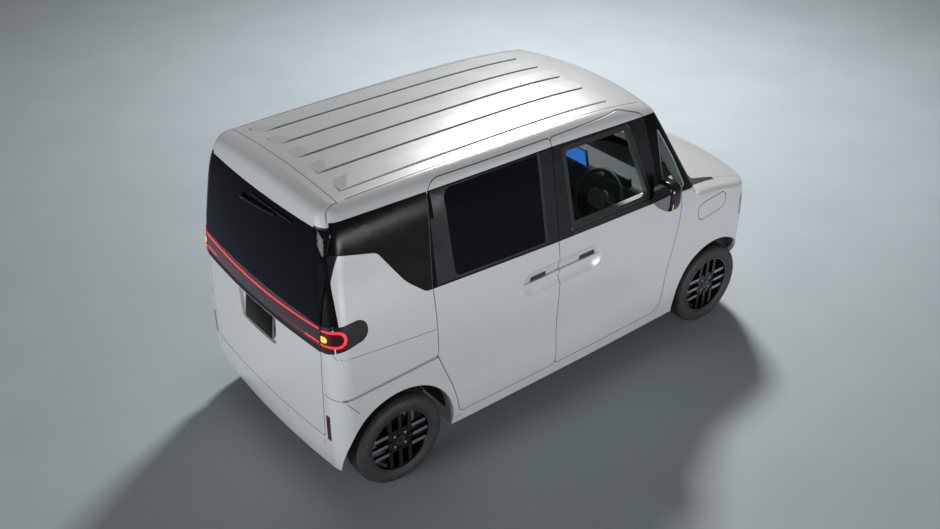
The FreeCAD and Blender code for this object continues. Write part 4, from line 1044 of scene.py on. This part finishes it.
def seat(name, x, y, half, top, head_ys, node_name=None):
    """padded seat: cushion, bolsters, backrest with its wings and headrests"""
    inner = 2 * half - 0.13
    edge_y = half - 0.042
    lines = [(-inner / 6, 0.006, 0.008), (inner / 6, 0.006, 0.008)]
    tall = top - BACK_FOOT_Z
    back_z = BACK_FOOT_Z + tall / 2
    back_turn = -90 + math.degrees(math.atan2(BACK_LEAN, tall))
    back_x = x - BACK_BEHIND
    fabric = MATERIALS["seat_fabric"]
    base = Heap()
    base.block((x - 0.20, y - half + 0.02, SEAT_FLOOR_Z), (x + 0.215, y + half - 0.02, 0.50), 0.03)
    base.make(name + "_base", MATERIALS["interior_dark"], "body")
    cushion = Heap()
    length, deep = CUSHION_SIZE
    pad(cushion, (x + 0.055, y, CUSHION_Z), (length, inner + 0.02, deep), CUSHION_TILT, 0.018, 0.040, lines)
    soft = [cushion.make(name + "_cushion", fabric, "body", 180.0)]
    sides = Heap()
    for edge in (-1, 1):
        place = (x + 0.050, y + edge * edge_y, BOLSTER_Z)
        pad(sides, place, (length, BOLSTER_W, BOLSTER_H), CUSHION_TILT, 0.012, 0.034, (), 10)
    soft.append(sides.make(name + "_bolsters", SEAT_SIDE, "body", 180.0))
    back = Heap()
    pad(back, (back_x, y, back_z), (tall, inner + 0.02, BACK_THICK), back_turn, 0.016, 0.038, lines)
    soft.append(back.make(name + "_back", fabric, "body", 180.0))
    wings = Heap()
    for edge in (-1, 1):
        place = (back_x + 0.006, y + edge * edge_y, back_z)
        pad(wings, place, (tall - 0.03, BOLSTER_W, WING_H), back_turn, 0.010, 0.034, (), 10)
    soft.append(wings.make(name + "_wings", SEAT_SIDE, "body", 180.0))
    heads = Heap()
    posts = Heap()
    for head_y in head_ys:
        pad(heads, (x - HEAD_BEHIND, head_y, top + HEAD_UP), HEAD_SIZE, HEAD_TILT, 0.012, 0.026, (), 12)
        for edge in (-1, 1):
            post_y = head_y + edge * POST_Y
            posts.tube([(x - 0.290, post_y, top - 0.06), (x - HEAD_BEHIND, post_y, top + 0.04)], POST_R, 10)
    soft.append(heads.make(name + "_headrest", fabric, "body", 180.0))
    posts.make(name + "_posts", SILVER, "body")
    if node_name:
        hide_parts(node_name)


# The rest of the cabin
SCREEN_PIVOT = (0.661, 0, 1.10)
SCREEN_LEAN = -12
CLUSTER_PIVOT = (0.705, -0.33, 1.08)
CLUSTER_LEAN = -14
WHEEL_PAD_CENTRE = Vector((0.530, -0.330, 1.020))
WHEEL_PAD_AXIS = Vector((-0.9, 0, 0.42))
WHEEL_PAD_HALF = (0.075, 0.058)
WHEEL_PAD_LAYERS = ((-0.006, 1.0), (0.006, 1.0), (0.012, 0.88), (0.015, 0.60))
DOOR_CARD_Y = (0.560, 0.5745)


def inner_block(name, low, high, edge, finish, body="body", turn=None, pivot=None):
    heap = Heap()
    heap.block(low, high, edge, turn, pivot)
    heap.make(name, finish, body)


def wheel_pad():
    """pad in the middle of the steering wheel"""
    axis = WHEEL_PAD_AXIS.normalized()
    up = axis.cross(Vector((0, 1, 0))).normalized()
    wide, tall = WHEEL_PAD_HALF
    rings = []
    for away, grow in WHEEL_PAD_LAYERS:
        middle = WHEEL_PAD_CENTRE + axis * away
        across = grow * wide * Vector((0, 1, 0))
        rings.append([middle + a * across + b * grow * tall * up for a, b in soft_square(32, 0.7)])
    heap = Heap()
    heap.loft(rings)
    heap.make("wheel_pad", DASH_LIGHT, "body")


def cabin_parts():
    dark = MATERIALS["interior_dark"]
    lean = Matrix.Rotation(math.radians(SCREEN_LEAN), 3, "Y")
    case = ((0.652, -0.105, 1.108), (0.670, 0.105, 1.236))
    lit = ((0.6508, -0.098, 1.115), (0.6532, 0.098, 1.229))
    foot = ((0.672, -0.03, 1.06), (0.700, 0.03, 1.13))
    inner_block("display_case", *case, 0.006, dark, "body", lean, SCREEN_PIVOT)
    inner_block("display", *lit, 0.0008, SCREEN, "body", lean, SCREEN_PIVOT)
    inner_block("display_foot", *foot, 0.006, dark)
    tip = Matrix.Rotation(math.radians(CLUSTER_LEAN), 3, "Y")
    cluster = ((0.690, -0.44, 1.080), (0.720, -0.22, 1.150))
    inner_block("cluster", *cluster, 0.010, RUBBER, "body", tip, CLUSTER_PIVOT)
    wheel_pad()
    inner_block("console", (0.12, -0.055, SEAT_FLOOR_Z), (0.60, 0.055, 0.56), 0.02, dark)
    for label, side in SIDES:
        near, far = sorted(side * y for y in DOOR_CARD_Y)
        card = ((-0.08, near, 0.40), (0.60, far, 1.10))
        inner_block("door_card_" + label, *card, 0.006, DASH_LIGHT, "door_" + label)


# Studio
FLOOR_REACH = 30.0
FLOOR_LOW = (0.43, 0.485, 0.52)
FLOOR_HIGH = (0.45, 0.505, 0.54)
SKY_COLOUR = (0.90, 0.95, 1.0)
SKY_STRENGTH = 0.08
WARM = (1.0, 0.985, 0.97)
COOL = (0.98, 0.99, 1.0)


def area_light(name, place, target, size, power, colour, spread=180):
    """oblong lamp that looks at a target"""
    data = bpy.data.lights.new(name, "AREA")
    data.spread = math.radians(spread)
    data.shape = "RECTANGLE"
    data.size, data.size_y = size
    data.energy = power
    data.color = colour
    lamp = bpy.data.objects.new(name, data)
    away = Vector(place) - Vector(target)
    lamp.matrix_world = Matrix.Translation(place) @ away.to_track_quat("Z", "Y").to_matrix().to_4x4()
    bpy.context.scene.collection.objects.link(lamp)


def make_studio():
    mesh = bpy.data.meshes.new("floor")
    corners = [(-1, -1), (1, -1), (1, 1), (-1, 1)]
    mesh.from_pydata([(a * FLOOR_REACH, b * FLOOR_REACH, 0) for a, b in corners], [], [(0, 1, 2, 3)])
    mesh.materials.append(plain("floor", FLOOR_LOW, FLOOR_HIGH, 0.55, grain=1.5))
    floor = bpy.data.objects.new("floor", mesh)
    bpy.context.scene.collection.objects.link(floor)
    world = bpy.data.worlds.new("sky")
    world.use_nodes = True
    back = world.node_tree.nodes["Background"]
    back.inputs["Color"].default_value = (*SKY_COLOUR, 1)
    back.inputs["Strength"].default_value = SKY_STRENGTH
    bpy.context.scene.world = world
    area_light("key", (3.7, 3.3, 5.9), (2.4, 2.2, 0.0), size=(1.1, 1.1), power=560, colour=WARM)
    area_light("fill_side", (0.5, -8.5, 1.1), (0.3, 0, 2.0), (6.0, 1.6), 74, COOL, spread=80)
    area_light("fill_rear", (-8.5, -0.5, 1.1), (0, 0, 1.8), (4.0, 1.6), 66, COOL, spread=80)


dress_nodes()
make_camera()
make_studio()
lamp_bar_lines()
sensor_dots()
number_plate()
wiper()
for label, side in SIDES:
    corner_lamp(label, side)
    seams(label, side)
    grips(label, side)
    window_frames(label, side)
    mirror_parts(label, side)
    headlamp_parts(label, side)
    for axle, x in (("front", FRONT_X), ("rear", REAR_X)):
        tyre(axle, label, side, x)
        wheel_parts(axle, label, side, x)
seat("seat_left", x=0.120, y=0.330, half=0.250, top=1.200, head_ys=(0.330,))
seat("seat_right", x=0.120, y=-0.330, half=0.250, top=1.200, head_ys=(-0.330,), node_name="front_seats")
seat("seat_rear", x=-0.680, y=0, half=0.500, top=1.150, head_ys=(-0.25, 0.25), node_name="rear_seat")
cabin_parts()

scene = bpy.context.scene
scene.view_settings.view_transform = "Standard"
